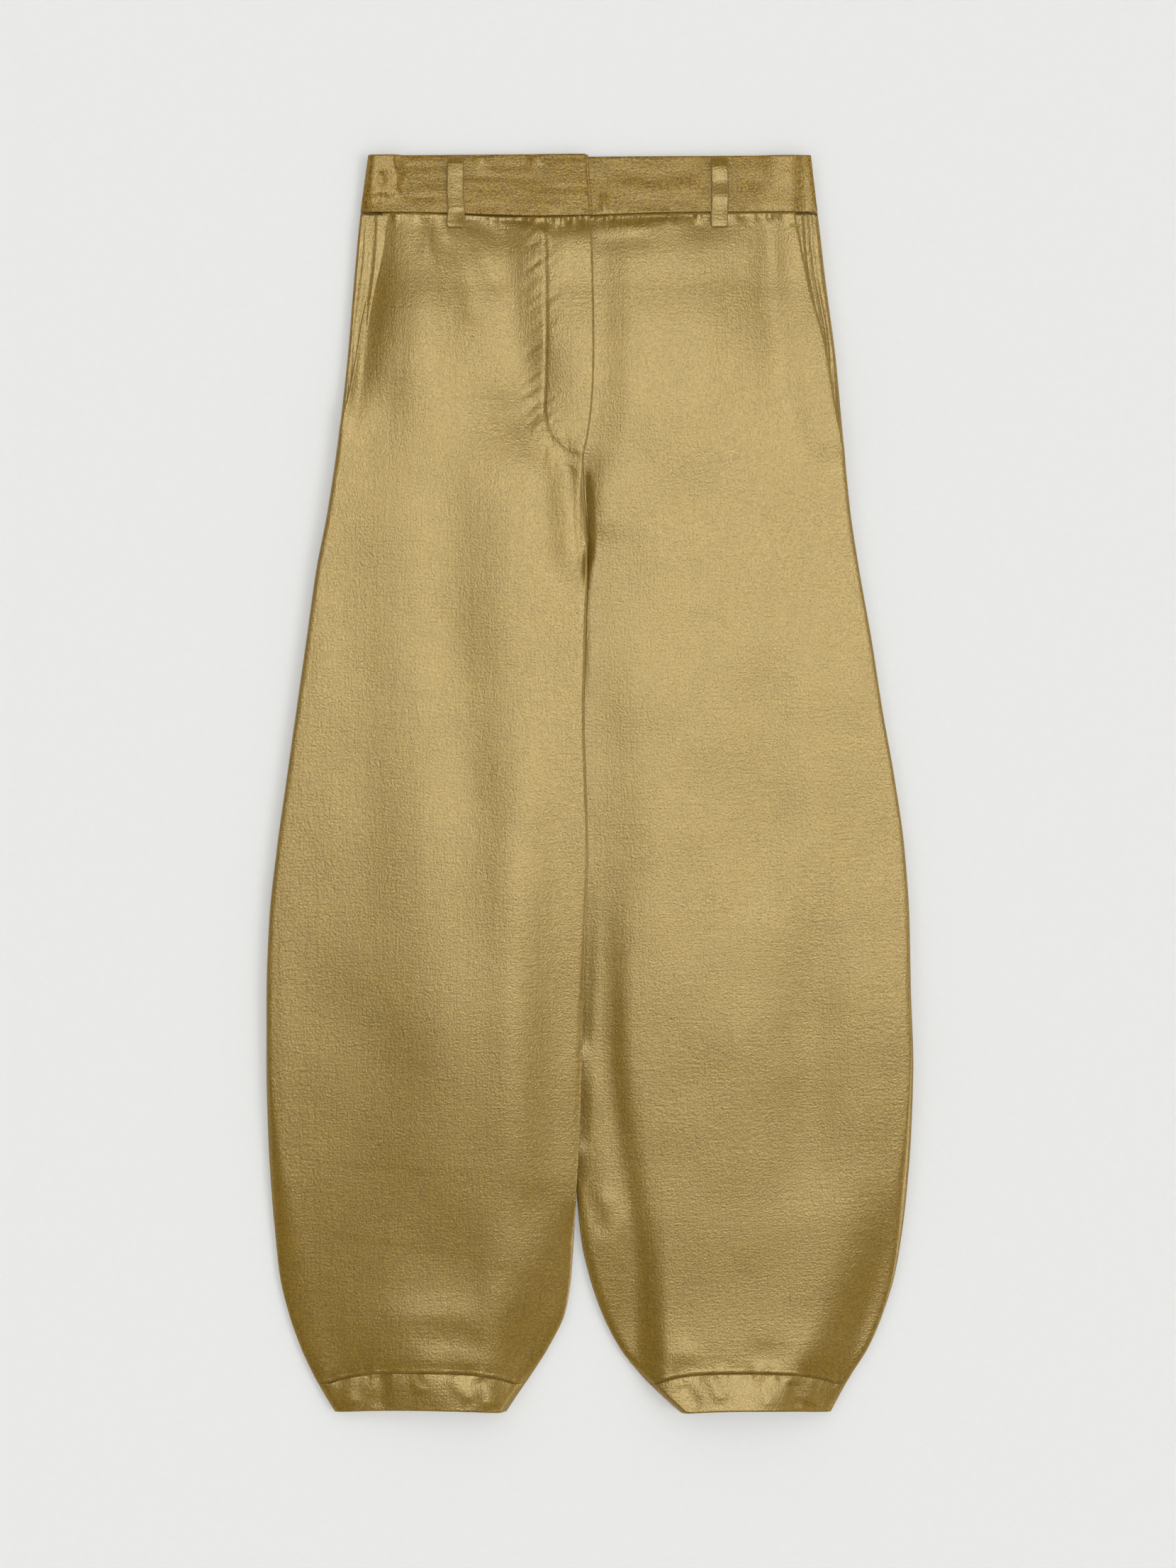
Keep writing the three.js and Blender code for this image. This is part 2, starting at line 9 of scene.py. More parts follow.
import bpy
import numpy as np
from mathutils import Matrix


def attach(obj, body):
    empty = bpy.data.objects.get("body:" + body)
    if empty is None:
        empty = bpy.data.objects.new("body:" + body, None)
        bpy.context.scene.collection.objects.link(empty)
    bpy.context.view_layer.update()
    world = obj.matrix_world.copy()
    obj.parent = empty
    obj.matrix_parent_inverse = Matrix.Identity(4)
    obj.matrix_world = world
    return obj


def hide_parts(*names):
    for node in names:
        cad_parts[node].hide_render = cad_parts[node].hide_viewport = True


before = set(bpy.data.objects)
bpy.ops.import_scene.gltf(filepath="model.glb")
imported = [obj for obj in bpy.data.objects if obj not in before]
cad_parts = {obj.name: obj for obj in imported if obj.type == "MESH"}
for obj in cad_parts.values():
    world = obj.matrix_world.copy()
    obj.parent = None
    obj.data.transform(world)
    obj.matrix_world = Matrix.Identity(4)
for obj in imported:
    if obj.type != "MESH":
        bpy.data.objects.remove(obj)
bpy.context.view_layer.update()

# %% [markdown]
# ## Camera
#
# The picture is taken straight down. A long lens high above keeps the legs' outlines true, so the same
# number of millimetres goes to every pixel from the waistband to the hems.

# %% Camera straight above
camera_data = bpy.data.cameras.new("overhead_camera")
camera_data.lens = 80
camera_data.sensor_width = 36
camera = bpy.data.objects.new("overhead_camera", camera_data)
camera.location = (-0.0016, -0.0011, 2.907)
bpy.context.scene.collection.objects.link(camera)
bpy.context.scene.camera = camera
print("camera height in metres:", camera.location.z)

# %% [markdown]
# ## Sizes and soft steps
#
# Everything is worked out in millimetres, from the waistband's top edge down, as a pattern cutter
# measures. `fade` is a soft step from 0 to 1, and `hump` a soft rise: with those two, any crease,
# groove or lifted edge can be written as one line.

# %% Sizes in millimetres
MM = 0.001
MID_Y = 524
BAND_DEEP = 48.8
CROTCH = 297
LENGTH = 1048
HEM_DEEP = 33
WALL = 1.4
BAND_WALL = 1.9
HEM_WALL = 1.9
SEAM = 0.3
CLOTH = 0.5
DOUBLED_CLOTH = 1.2


def mix(a, b, t):
    return a + (b - a) * t


def hump(distance, half_width):
    return np.exp(-((distance / half_width) ** 2))


def fade(span, x):
    t = np.clip((x - span[0]) / (span[1] - span[0]), 0, 1)
    return t * t * (3 - 2 * t)


def quarter_round(share):
    """How far an edge has still dropped, at a share of the way in from it."""
    s = np.clip(share, 0, 1)
    return 1 - np.sqrt(1 - (1 - s) ** 2)


print("cloth", CLOTH, "mm thick, on walls of", WALL, "mm")

# %% [markdown]
# ## The legs' edges
#
# A pattern piece is drawn through a few measured points. Each row gives one height and the x of four
# edges. A curve through them must not swing past a point, or the outline would wobble, so its slope at
# a point is the harmonic mean of the slopes on both sides.

# %% Curves through measured points


def curve_through(rows, column):
    at = np.array([row[0] for row in rows], float)
    value = np.array([row[column] for row in rows], float)
    rise = np.diff(value) / np.diff(at)
    before = np.concatenate([rise[:1], rise])
    after = np.concatenate([rise, rise[-1:]])
    both = before * after
    slope = np.where(both > 0, 2 * both / np.where(both > 0, before + after, 1), 0)

    def follow(down):
        d = np.clip(down, at[0], at[-1])
        i = np.clip(np.searchsorted(at, d) - 1, 0, len(at) - 2)
        span = at[i + 1] - at[i]
        t = (d - at[i]) / span
        keep = (1 + 2 * t) * (1 - t) ** 2
        lead = t * (1 - t) ** 2 * span
        tail = t * t * (t - 1) * span
        return keep * value[i] + (1 - keep) * value[i + 1] + lead * slope[i] + tail * slope[i + 1]

    return follow


# down, outer right, inner right, inner left, outer left: right and left are the wearer's
LEGS = [
    (0, -184.6, -3.4, -3.1, 184.0),
    (50, -191.2, -3.4, -3.1, 189.8),
    (109, -196.9, -3.4, -3.1, 196.8),
    (168, -201.8, -3.4, -3.1, 204.6),
    (227, -208.4, -4.8, -4.5, 210.2),
    (297, -218.6, -3.3, -3.0, 217.0),
    (345, -227.8, -1.9, -4.2, 224.2),
    (404, -236.2, -3.4, -6.6, 234.6),
    (463, -244.6, -4.6, -9.6, 243.8),
    (522, -253.0, -3.2, -12.0, 254.2),
    (581, -261.2, -1.6, -13.6, 262.4),
    (640, -267.4, -3.4, -14.8, 266.4),
    (699, -269.5, -5.2, -15.4, 267.6),
    (758, -269.6, -6.8, -15.6, 269.6),
    (817, -268.2, -8.6, -14.4, 267.8),
    (866, -265.3, -11.4, -11.0, 264.0),
    (905, -261.8, -13.6, -7.2, 259.2),
    (935, -258.4, -15.6, -0.6, 253.8),
    (964, -251.6, -20.2, 9.2, 245.0),
    (994, -241.3, -34.2, 24.2, 232.4),
    (1018, -230.2, -49.4, 42.9, 217.4),
    (1034, -221.2, -60.4, 59.0, 208.2),
    (1048, -212.6, -69.6, 74.6, 200.8),
]
# down, and how far in each of those edges starts to turn down
TURN = [
    (0, 6, 6, 6, 6),
    (600, 7, 6, 6, 7),
    (760, 12, 12, 6, 9),
    (880, 20, 26, 8, 16),
    (960, 26, 30, 9, 24),
    (1015, 12, 12, 7, 12),
    (1048, 7, 7, 7, 7),
]
# down, and how wide the strip of pocket facing is that shows on the right and the left
POCKET_STRIP = [
    (50, 17.4, 18.8),
    (92, 13.6, 15.6),
    (120, 10.6, 12.6),
    (150, 8.0, 8.2),
    (180, 5.8, 5.6),
    (205, 3.2, 4.2),
    (218, 0.8, 3.0),
    (235, 0.8, 0.8),
]
# down, and the x of the fly's edge
FLY_EDGE = [
    (0, -3.6),
    (50, 0.2),
    (83, 2.4),
    (164, 3.7),
    (192, 3.0),
    (216, 1.2),
    (236, -1.8),
    (254, -5.6),
    (275, -5.2),
    (297, -3.3),
]
EDGES = ["outer_right", "inner_right", "inner_left", "outer_left"]
edge = {name: curve_through(LEGS, i + 1) for i, name in enumerate(EDGES)}
turn = {name: curve_through(TURN, i + 1) for i, name in enumerate(EDGES)}
pocket_strip = {"right": curve_through(POCKET_STRIP, 1), "left": curve_through(POCKET_STRIP, 2)}
fly_edge = curve_through(FLY_EDGE, 1)


def outer_edge(side, down):
    return edge["outer_" + side](down)


widest = outer_edge("left", 758.0) - outer_edge("right", 758.0)
print("widest, over both legs, in mm:", round(float(widest), 1))

# %% [markdown]
# ## Seams and the overlap of the legs
#
# The waist seam dips a little at the middle of the front, the hem seams bend down at both ends, and the
# right leg's inner edge lies on the left leg from the crotch to the calves. The same curves as in the
# solids are used, so every thin piece stays on its own solid.

# %% Where the seams run
FLY_END = 254
POCKET_END = {"right": 218, "left": 235}
OVERLAP_FROM = 330
OVERLAP_TO = 866


def waist_seam(x):
    return BAND_DEEP + 3.4 * hump(x + 35, 75)


def hem_seam(share):
    return LENGTH - HEM_DEEP + 9 * np.abs(2 * share - 1) ** 3


def hem_edge(share):
    return LENGTH - 1.6 + 1.6 * (2 * share - 1) ** 2


def centre_right(down):
    return np.where(down < CROTCH, fly_edge(down), edge["inner_right"](down))


def centre_seam(down):
    return np.minimum(-3.2, fly_edge(np.maximum(down, FLY_END)))


def left_leg_edge(down):
    beside = centre_right(down) + SEAM
    own = edge["inner_left"](down)
    tucked = mix(beside, np.minimum(own, beside), fade((OVERLAP_FROM, OVERLAP_FROM + 45), down))
    return np.where(down >= OVERLAP_TO, np.maximum(own, beside), tucked)


print("the legs part", OVERLAP_TO, "mm down")

# %% [markdown]
# ## How high each layer lies
#
# Trousers lying flat are two layers with a little air between them. The back rests on the floor and, at
# the waist, on its belt loops. The front lies above it, higher over the pocket facings, the fly and the
# other leg. These are the solids' own heights, without their folds, which come next in finer form.

# %% Heights of the layers
LOOP_WALL = 1.0
LOOP_ROOM = LOOP_WALL + SEAM
ROOM_FACING = 1.2
LEG_LIFT = 2 * WALL + 1.0 + SEAM


def on_loops(down):
    """How high the back belt loops lift what lies on them, fading out below their ends."""
    return LOOP_ROOM * (1 - fade((66, 112), down))


def lift_of(side, x, down):
    if side == "left":
        return on_loops(down)
    along = fade((CROTCH + 8, OVERLAP_FROM), down) * (1 - fade((OVERLAP_TO, OVERLAP_TO + 44), down))
    return on_loops(down) + LEG_LIFT * along * fade((-28, -4), x - left_leg_edge(down))


def fly_room(side, room, x, down):
    fly = 1 - fade((FLY_END, FLY_END + 34), down)
    beyond = x - fly_edge(down)
    if side == "right":
        over = 0.5 + WALL + SEAM + 0.9 * (1 - fade((62, 110), down))
        return mix(room, np.maximum(room, over), fly * (1 - fade((18, 48), -beyond)))
    return mix(room, 0.5, fly * (1 - fade((1, 34), beyond)))


def room_of(side, x, down):
    """Air between the back and the front of one half, the folds left out."""
    right = side == "right"
    inner = edge["inner_right"](down) if right else left_leg_edge(down)
    from_outer = np.abs(x - outer_edge(side, down))
    soft = mix(2.2, 2.0, fade((4, 34), from_outer))
    sewn = mix(2.2, soft, fade((4, 30), np.abs(x - inner)))
    room = mix(soft, sewn, fade((CROTCH - 20, CROTCH + 30), down))
    end = POCKET_END[side]
    beside = 1 - fade((15, 42), from_outer - pocket_strip[side](down))
    over_pocket = (1 - fade((end, end + 26), down)) * beside
    room = mix(room, np.maximum(room, ROOM_FACING + WALL + SEAM), over_pocket)
    room = fly_room(side, room, x, down)
    if right:
        return room
    tucked = fade((CROTCH + 4, OVERLAP_FROM), down) * (1 - fade((OVERLAP_TO, OVERLAP_TO + 30), down))
    return mix(room, 1.0, tucked * (1 - fade((2, 60), x - edge["inner_right"](down))))


print("air between front and back at the knee, in mm:", float(room_of("right", -130.0, 500.0)))

# %% [markdown]
# ## Creases laid one by one
#
# Satin shows every crease as a band of light beside a band of shade. Each crease here is a line of points
# with a height, above 0 for a ridge and below 0 for a trough, and a width on either side, so one flank
# can be steeper. It dies out towards both ends, as a soft fold does. They are laid on one by one from how
# the trousers lie, so no two have the same length, depth or distance.

# %% A crease along a line


def along_line(x, down, points):
    """Signed distance to a line of points, above 0 to its left as it is drawn, and the share run."""
    points = np.array(points, float)
    steps = np.diff(points, axis=0)
    lengths = np.hypot(steps[:, 0], steps[:, 1])
    before = np.concatenate([[0], np.cumsum(lengths)])
    best = np.full(np.shape(x), 1e9)
    signed = np.zeros(np.shape(x))
    share = np.zeros(np.shape(x))
    for start, step, length, run in zip(points, steps, lengths, before):
        away_x = x - start[0]
        away_down = down - start[1]
        t = np.clip((away_x * step[0] + away_down * step[1]) / length**2, 0, 1)
        distance = np.hypot(away_x - t * step[0], away_down - t * step[1])
        nearer = distance < best
        side = np.sign(away_x * step[1] - away_down * step[0])
        best = np.where(nearer, distance, best)
        signed = np.where(nearer, side * distance, signed)
        share = np.where(nearer, (run + t * length) / before[-1], share)
    return signed, share


def crease(x, down, height, left_width, right_width, points, ends=0.25):
    """One crease: right_width is on the side towards the wearer's left when it is drawn downwards."""
    signed, share = along_line(x, down, points)
    width = np.where(signed > 0, right_width, left_width)
    return height * hump(signed, width) * fade((0, ends), share) * fade((0, ends), 1 - share)


def lay(creases, x, down):
    return sum(crease(x, down, *one) for one in creases)


# %% [markdown]
# The right leg, on the left in the picture: a ridge from the hip runs the whole length of the thigh, a
# trough beside it leads to the calf, and short folds gather at the belt loop, the crotch and the hem.

# %% Creases of the right front
# height, width towards the outside, width towards the inside, points as (x, down)
RIGHT_CREASES = [
    (1.5, 26, 40, [(-130, 0), (-139, 90), (-153, 150), (-170, 225)]),
    (-3.6, 9, 31, [(-188, -60), (-195, 95), (-204, 150), (-216, 250)]),
    (0.5, 5, 5, [(-134, 46), (-135, 74), (-137, 98)], 0.45),
    (-0.25, 5, 5, [(-127, 44), (-128, 68), (-129, 88)], 0.45),
    (0.4, 4, 5, [(-120, 46), (-120, 62), (-118, 80)], 0.45),
    (0.6, 36, 30, [(-158, 180), (-152, 360), (-146, 560), (-138, 760), (-130, 940)]),
    (-0.3, 26, 16, [(-118, 180), (-114, 356), (-102, 480), (-94, 563), (-90, 728), (-90, 930)]),
    (-0.25, 20, 20, [(-194, 360), (-190, 480), (-184, 640)]),
    (0.4, 28, 36, [(-60, 220), (-58, 420), (-56, 640)]),
    (-4.2, 60, 29, [(-84, -50), (-80, 70), (-68, 120), (-58, 200), (-54, 270)], 0.3),
    (0.6, 8, 4, [(-90, 58), (-64, 60), (-44, 63), (-26, 75)]),
    (-1.0, 9, 4, [(-40, 54), (-20, 54), (6, 55)]),
    (-0.35, 8, 10, [(-110, 66), (-103, 105), (-97, 150)]),
    (-0.3, 8, 8, [(-100, 66), (-86, 96), (-72, 120)]),
    (-2.2, 17, 12, [(-24, 222), (-19, 262), (-13, 320), (-10, 376)], 0.32),
    (-0.3, 14, 14, [(-62, 208), (-48, 238), (-24, 264)]),
    (6.3, 100, 38, [(-67, 420), (-71, 700), (-71, 850), (-79, 920), (-91, 985), (-103, 1085)], 0.5),
    (2.5, 30, 24, [(-44, 860), (-54, 930), (-66, 990), (-70, 1014)], 0.45),
    (-0.3, 8, 9, [(-152, 990), (-112, 987), (-78, 996)]),
    (0.4, 9, 14, [(-180, 972), (-130, 966), (-84, 968)]),
]
print(len(RIGHT_CREASES), "creases on the right front")

# %% [markdown]
# The left leg: a broad ridge down the inner thigh, troughs down its outer half, and a long one that
# leads from the knee to the inner end of the hem. The dents under the other leg come further below.

# %% Creases of the left front
LEFT_CREASES = [
    (0.35, 22, 26, [(30, 330), (40, 480), (52, 610), (62, 740)]),
    (-0.7, 22, 24, [(146, 400), (146, 540), (142, 650)]),
    (-1.5, 30, 28, [(188, 600), (182, 800), (180, 960)], 0.4),
    (-1.7, 14, 12, [(12, 560), (17, 760), (28, 852), (36, 911), (43, 985), (54, 1060)], 0.45),
    (0.5, 8, 9, [(-2, 866), (10, 870), (24, 880)], 0.5),
    (-0.5, 8, 8, [(0, 884), (10, 893), (22, 900)], 0.5),
    (-1.4, 6, 11, [(-4, 238), (-4, 272), (-3, 292), (-2, 334)], 0.45),
    (-2.2, 24, 14, [(258, 850), (250, 930), (236, 985), (214, 1050)], 0.4),
    (0.5, 9, 9, [(60, 1006), (78, 998), (98, 1004)], 0.5),
    (-0.5, 12, 10, [(120, 998), (148, 999), (174, 992)], 0.5),
    (-1.3, 10, 12, [(150, 10), (150, 62), (155, 130)], 0.5),
    (-0.4, 14, 14, [(150, 60), (151, 120), (154, 230)], 0.4),
    (0.5, 26, 34, [(100, 60), (90, 160), (80, 290)]),
    (-0.9, 7, 3, [(-10, 52.5), (16, 53), (62, 50.5)]),
    (0.6, 11, 5, [(-8, 62), (40, 60), (92, 54)]),
    (-0.3, 9, 5, [(0, 72), (26, 71), (58, 68)]),
]
print(len(LEFT_CREASES), "creases on the left front")

# %% [markdown]
# ## Puckers and slow waves
#
# A seam is a little shorter than the cloth it holds, so the cloth beside it puckers. Real puckers have
# no rhythm, so a seeded generator draws their places, widths and heights. Slow waves a few centimetres
# long keep the wide, quiet parts of the legs from looking pressed.

# %% Puckers along a seam and slow waves


def own_seed(side, first):
    """The two halves draw from neighbouring seeds, so they don't match."""
    return first if side == "right" else first + 1


def puckers(along, seed, first, last, pitch, height):
    """Small ridges and troughs at uneven places along a seam."""
    draw = np.random.default_rng(seed)
    total = np.zeros(np.shape(along))
    at = first
    while at < last:
        at += pitch * draw.uniform(0.5, 1.6)
        width = pitch * draw.uniform(0.22, 0.5)
        total = total + height * draw.uniform(-1, 1) * hump(along - at, width)
    return total


def slow_waves(x, down, seed, height, shortest, longest):
    draw = np.random.default_rng(seed)
    total = np.zeros(np.shape(x))
    for _ in range(14):
        length = draw.uniform(shortest, longest)
        heading = draw.uniform(0, 2 * np.pi)
        start = draw.uniform(0, 2 * np.pi)
        travelled = x * np.cos(heading) + down * np.sin(heading)
        total = total + np.sin(2 * np.pi * travelled / length + start)
    return height * total / 3.7


# the curved fly stitching, as (x, down)
J_STITCH = [
    (-37.9, 54),
    (-36.8, 92),
    (-36.4, 146),
    (-37.3, 191),
    (-38.5, 215),
    (-36.4, 229),
    (-31, 239),
    (-22, 247.3),
    (-14.9, 251.8),
    (-5.7, 252.5),
]


def fly_puckers(x, down):
    """A stitched groove with puckers on both sides, along the curved fly stitching."""
    signed, share = along_line(x, down, J_STITCH)
    length = 228
    groove = -0.34 * hump(signed, 1.5)
    slanted = share * length + 0.7 * signed
    outside = puckers(slanted, 21, -30, length, 6.5, 0.34) * hump(signed + 8, 8)
    inside = puckers(slanted, 22, 0, length + 20, 6, 0.22) * hump(signed - 5, 5)
    return (groove + outside + inside) * fade((0, 0.03), share) * fade((-3, 2), down - 54)


print("curved fly stitching has", len(J_STITCH), "measured points")

# %% [markdown]
# ## The outer skin of each piece
#
# For every piece one function gives the height of its outer face. `after` and `before` are the distances
# from its upper and lower seam, where the cloth dips into the stitching.

# %% Skin of the fronts and backs


def between_edges(side, x, down):
    """0 at a leg's edges, where the sewn seams hold the cloth, and 1 away from them."""
    from_outer = fade((1, 15), np.abs(x - outer_edge(side, down)))
    inner = edge["inner_right"](down)
    held = fade((0, 4.5), (inner - x) if side == "right" else (x - inner))
    unsewn = 1 - fade((CROTCH - 20, CROTCH), down)
    return from_outer * np.where(down < CROTCH - 20, 1, np.maximum(held, unsewn))


# down, and the x where the right front climbs towards the other leg
CLIMB = [(226, -101), (356, -99), (480, -85), (563, -76), (728, -72), (893, -75)]
climb_at = curve_through(CLIMB, 1)


def front_lift(side, x, down):
    """The fronts stand fuller than the backs: the right one spans from the thigh to the other leg."""
    fuller = on_loops(down) + body_rise(down)
    if side == "left":
        full = 2.2 * fade((540, 760), down) * (1 - fade((880, 985), down))
        return fuller + full * fade((1, 42), x - edge["inner_right"](down))
    along = fade((190, OVERLAP_FROM), down) * (1 - fade((OVERLAP_TO - 20, OVERLAP_TO + 90), down))
    climbed = fade((-36, 34), x - climb_at(down)) * (1 - fade((540, 780), down))
    return fuller + along * (1.8 + 1.5 * climbed)


def body_rise(down):
    """The hips keep some of the body's fullness, which falls away towards the waist seam."""
    return 3.0 * (1 - fade((120, 400), down)) - 2.6 * hump(down - BAND_DEEP, 78)


def waist_climb(side, x):
    """How far the front climbs below the waist seam: most between the belt loop and the fly."""
    if side == "left":
        return 2.0 * (1 - fade((88, 164), x))
    return fade((-186, -128), x) * mix(3.2, 1.8, fade((-60, -14), x))


# down, and how deep the left leg is pushed in there
PUSHED_DOWN = [
    (600, 0),
    (690, 1.8),
    (732, 2.0),
    (752, 0.4),
    (790, 1.9),
    (818, 1.5),
    (832, 0.3),
    (848, 1.4),
    (866, 0),
]
pushed_at = curve_through(PUSHED_DOWN, 1)


def pushed_down(x, down):
    """Where the right leg's edge lies on the left leg, it pushes it down in uneven dents."""
    beside = x - edge["inner_right"](down)
    return -pushed_at(down) * (1 - fade((-5, 12), beside)) * fade((-30, -12), beside)


# height, distances from the outer edge where it starts and is full, and x where it is full and gone
ANKLE_SWELL = {"right": (7.0, 0, 110, -90, -44), "left": (7.5, 0, 58, 66, 34)}


def ankle_swell(side, x, down, below_seam):
    """How much the front swells as it nears the hem and runs on into it."""
    height, start, full, inner_full, inner_gone = ANKLE_SWELL[side]
    across = fade((start, full), np.abs(x - outer_edge(side, down)))
    return height * across * fade((inner_gone, inner_full), x) * hump(below_seam - 50, 128)


def crotch_valley(x, down):
    """The legs part below the fly, with a narrow, deep valley between them."""
    window = fade((256, 292), down) * (1 - fade((320, 348), down))
    return -2.6 * window * hump(x - edge["inner_right"](down), 3.8)


def front_skin(side):
    right = side == "right"
    creases = RIGHT_CREASES if right else LEFT_CREASES

    def skin(x, down, after, before):
        top = front_lift(side, x, down) + 2 * WALL + room_of(side, x, down)
        soft = lay(creases, x, down) + slow_waves(x, down, own_seed(side, 5), 0.11, 46, 130)
        climb_over = mix(46, 26, fade((-125, -95), x))
        soft = soft + waist_climb(side, x) * (1 - hump(after, climb_over)) * (1 - fade((90, 330), down))
        soft = soft * fade((-20, 5), after) * fade((-4, 12), before)
        soft = soft + ankle_swell(side, x, down, -before)
        top = top + soft * between_edges(side, x, down) + crotch_valley(x, down)
        waist = puckers(x, own_seed(side, 31), -200, 200, 6, 1.1) * hump(after - 2.5, 4.5)
        hem = puckers(x, own_seed(side, 33), -270, 270, 9, 0.5) * hump(before, 6)
        sunk = -0.3 * quarter_round(after / 1.2) - 0.2 * quarter_round(before / 1.0)
        ridge = 0.14 * hump(before - 2.0, 0.8) + 0.1 * hump(after - 2.0, 1.0)
        top = top + waist + hem + sunk + ridge
        return top + (fly_puckers(x, down) if right else pushed_down(x, down))

    return skin


BACK_DENTS = {
    "right": [
        (0.8, 16, 20, [(-150, 90), (-120, 300), (-110, 520)]),
        (0.6, 12, 16, [(-60, 330), (-66, 600), (-84, 840)]),
        (0.7, 14, 10, [(-190, 500), (-200, 720), (-190, 940)]),
        (0.5, 8, 10, [(-30, 240), (-60, 300), (-110, 330)]),
        (0.4, 8, 9, [(-150, 980), (-120, 1000), (-80, 992)]),
    ],
    "left": [
        (0.7, 18, 14, [(140, 80), (130, 260), (120, 470)]),
        (0.6, 14, 14, [(70, 360), (84, 640), (92, 860)]),
        (0.8, 12, 16, [(204, 470), (212, 700), (196, 960)]),
        (0.5, 9, 9, [(26, 236), (60, 290), (104, 316)]),
        (0.4, 9, 8, [(90, 1000), (130, 984), (170, 996)]),
    ],
}


def back_skin(side):
    def skin(x, down, after, before):
        low = lift_of(side, x, down)
        dents = lay(BACK_DENTS[side], x, down) * between_edges(side, x, down)
        waves = np.abs(slow_waves(x, down, own_seed(side, 8), 0.2, 50, 140))
        sunk = 0.6 * quarter_round(after / 2.2) + 0.5 * quarter_round(before / 1.8)
        gather = np.abs(puckers(x, 35, -270, 270, 9, 0.4)) * (hump(after, 5) + hump(before, 5))
        return low + dents + waves * between_edges(side, x, down) + sunk + gather

    return skin


# %% [markdown]
# The hems are turned up and doubled, so they stand a little proud and keep short upright creases from
# their stitching. The left one leans back and catches the light; the right one lies flatter.

# %% Skin of the hem bands
HEM_CREASES = {
    "right": [
        (0.7, 8, 6, [(-196, 1012), (-200, 1030), (-196, 1046)]),
        (-0.6, 7, 7, [(-176, 1010), (-172, 1030), (-176, 1048)]),
        (0.5, 5, 6, [(-140, 1012), (-143, 1024), (-141, 1034)]),
        (0.6, 6, 8, [(-118, 1014), (-108, 1028), (-96, 1040)]),
        (0.9, 9, 8, [(-92, 1016), (-86, 1030), (-82, 1046)]),
    ],
    "left": [
        (0.6, 6, 8, [(96, 1012), (104, 1026), (112, 1040)]),
        (-0.5, 7, 6, [(76, 1022), (84, 1034), (92, 1046)]),
        (0.5, 7, 7, [(150, 1010), (146, 1028), (148, 1046)]),
        (-0.6, 6, 6, [(168, 1020), (170, 1034), (172, 1046)]),
        (0.7, 8, 6, [(190, 1016), (186, 1030), (182, 1044)]),
    ],
}
HEM_LEAN = {"right": 1.5, "left": 3.0}


def hem_skin(side, face):
    def skin(x, down, after, before):
        sunk = quarter_round(after / 1.0)
        rolled = quarter_round(before / 1.6)
        if face == "back":
            return lift_of(side, x, down) + 0.45 * sunk + 0.45 * rolled
        top = lift_of(side, x, down) + WALL + room_of(side, x, down) + HEM_WALL
        lean = HEM_LEAN[side] * np.clip(after / HEM_DEEP, 0, 1) - 0.5
        gather = puckers(x, own_seed(side, 36), -270, 270, 9, 0.45) * hump(after, 7)
        folds = lay(HEM_CREASES[side], x, down) + slow_waves(x, down, 10, 0.12, 30, 70)
        folds = folds + ankle_swell(side, x, down, after)
        return top + (lean + folds) * between_edges(side, x, down) + gather - 0.25 * sunk - 0.6 * rolled

    return skin


# %% [markdown]
# The waistband is two layers with stiffening between them. It lies flatter than the legs, but it has
# been folded round a body, so it shows fine wrinkles along its length and small dents near its ends. A
# ragged patch at its right end leans towards the lamp and is bright.

# %% Skin of the waistband
BAND_LOW = LOOP_ROOM + BAND_WALL + 1.0
BAND_TUCKED_LOW = LOOP_ROOM + BAND_WALL + SEAM
BAND_LAP_LOW = BAND_TUCKED_LOW + BAND_WALL + SEAM
BAND_CREASES = {
    "right": [
        (-0.6, 3, 3, [(-174.5, 13), (-173.5, 21), (-173, 30)], 0.4),
        (0.9, 8, 3, [(-99, 1), (-90, 2), (-82, 1)], 0.5),
        (0.9, 8, 3, [(-53, 1), (-44, 2), (-36, 1)], 0.5),
        (-0.1, 6, 6, [(-100, 22), (-60, 20), (-20, 24)]),
        (0.1, 6, 7, [(-104, 38), (-60, 36), (-14, 40)]),
    ],
    "left": [
        (0.7, 3, 3, [(11.5, 32), (12, 42), (12, 52)], 0.4),
        (-0.14, 6, 6, [(6, 16), (50, 19), (96, 15)]),
        (0.14, 7, 6, [(14, 28), (54, 31), (100, 27)]),
        (-0.12, 5, 5, [(120, 20), (140, 23), (160, 19)]),
    ],
}
BAND_LEAN = {"right": 2.7, "left": 2.3}


def band_form(side, x, down):
    """The band leans back from the lamp, except at its ends, which lie flat and then curl down."""
    if side == "right":
        ragged = puckers(x, 43, -190, -150, 3, 4)
        uneven = x + 1.2 * np.sin(down / 4)
        patch = (1 - fade((-163, -154), uneven)) * (1 - fade((33, 41), down + ragged))
        leaning = mix(1, -0.8, patch)
        curl = -0.9 * (1 - fade((-190, -180), x))
    else:
        leaning = mix(1, -0.3, fade((136, 158), x))
        curl = -1.5 * fade((167, 181), x)
    return BAND_LEAN[side] * leaning * (down / BAND_DEEP - 0.9) + curl


def band_low(side, x, down):
    beyond = x - fly_edge(down)
    if side == "left":
        return mix(BAND_TUCKED_LOW, BAND_LOW, fade((4, 44), beyond))
    return mix(BAND_LOW, BAND_LAP_LOW, fade((-60, -20), beyond))


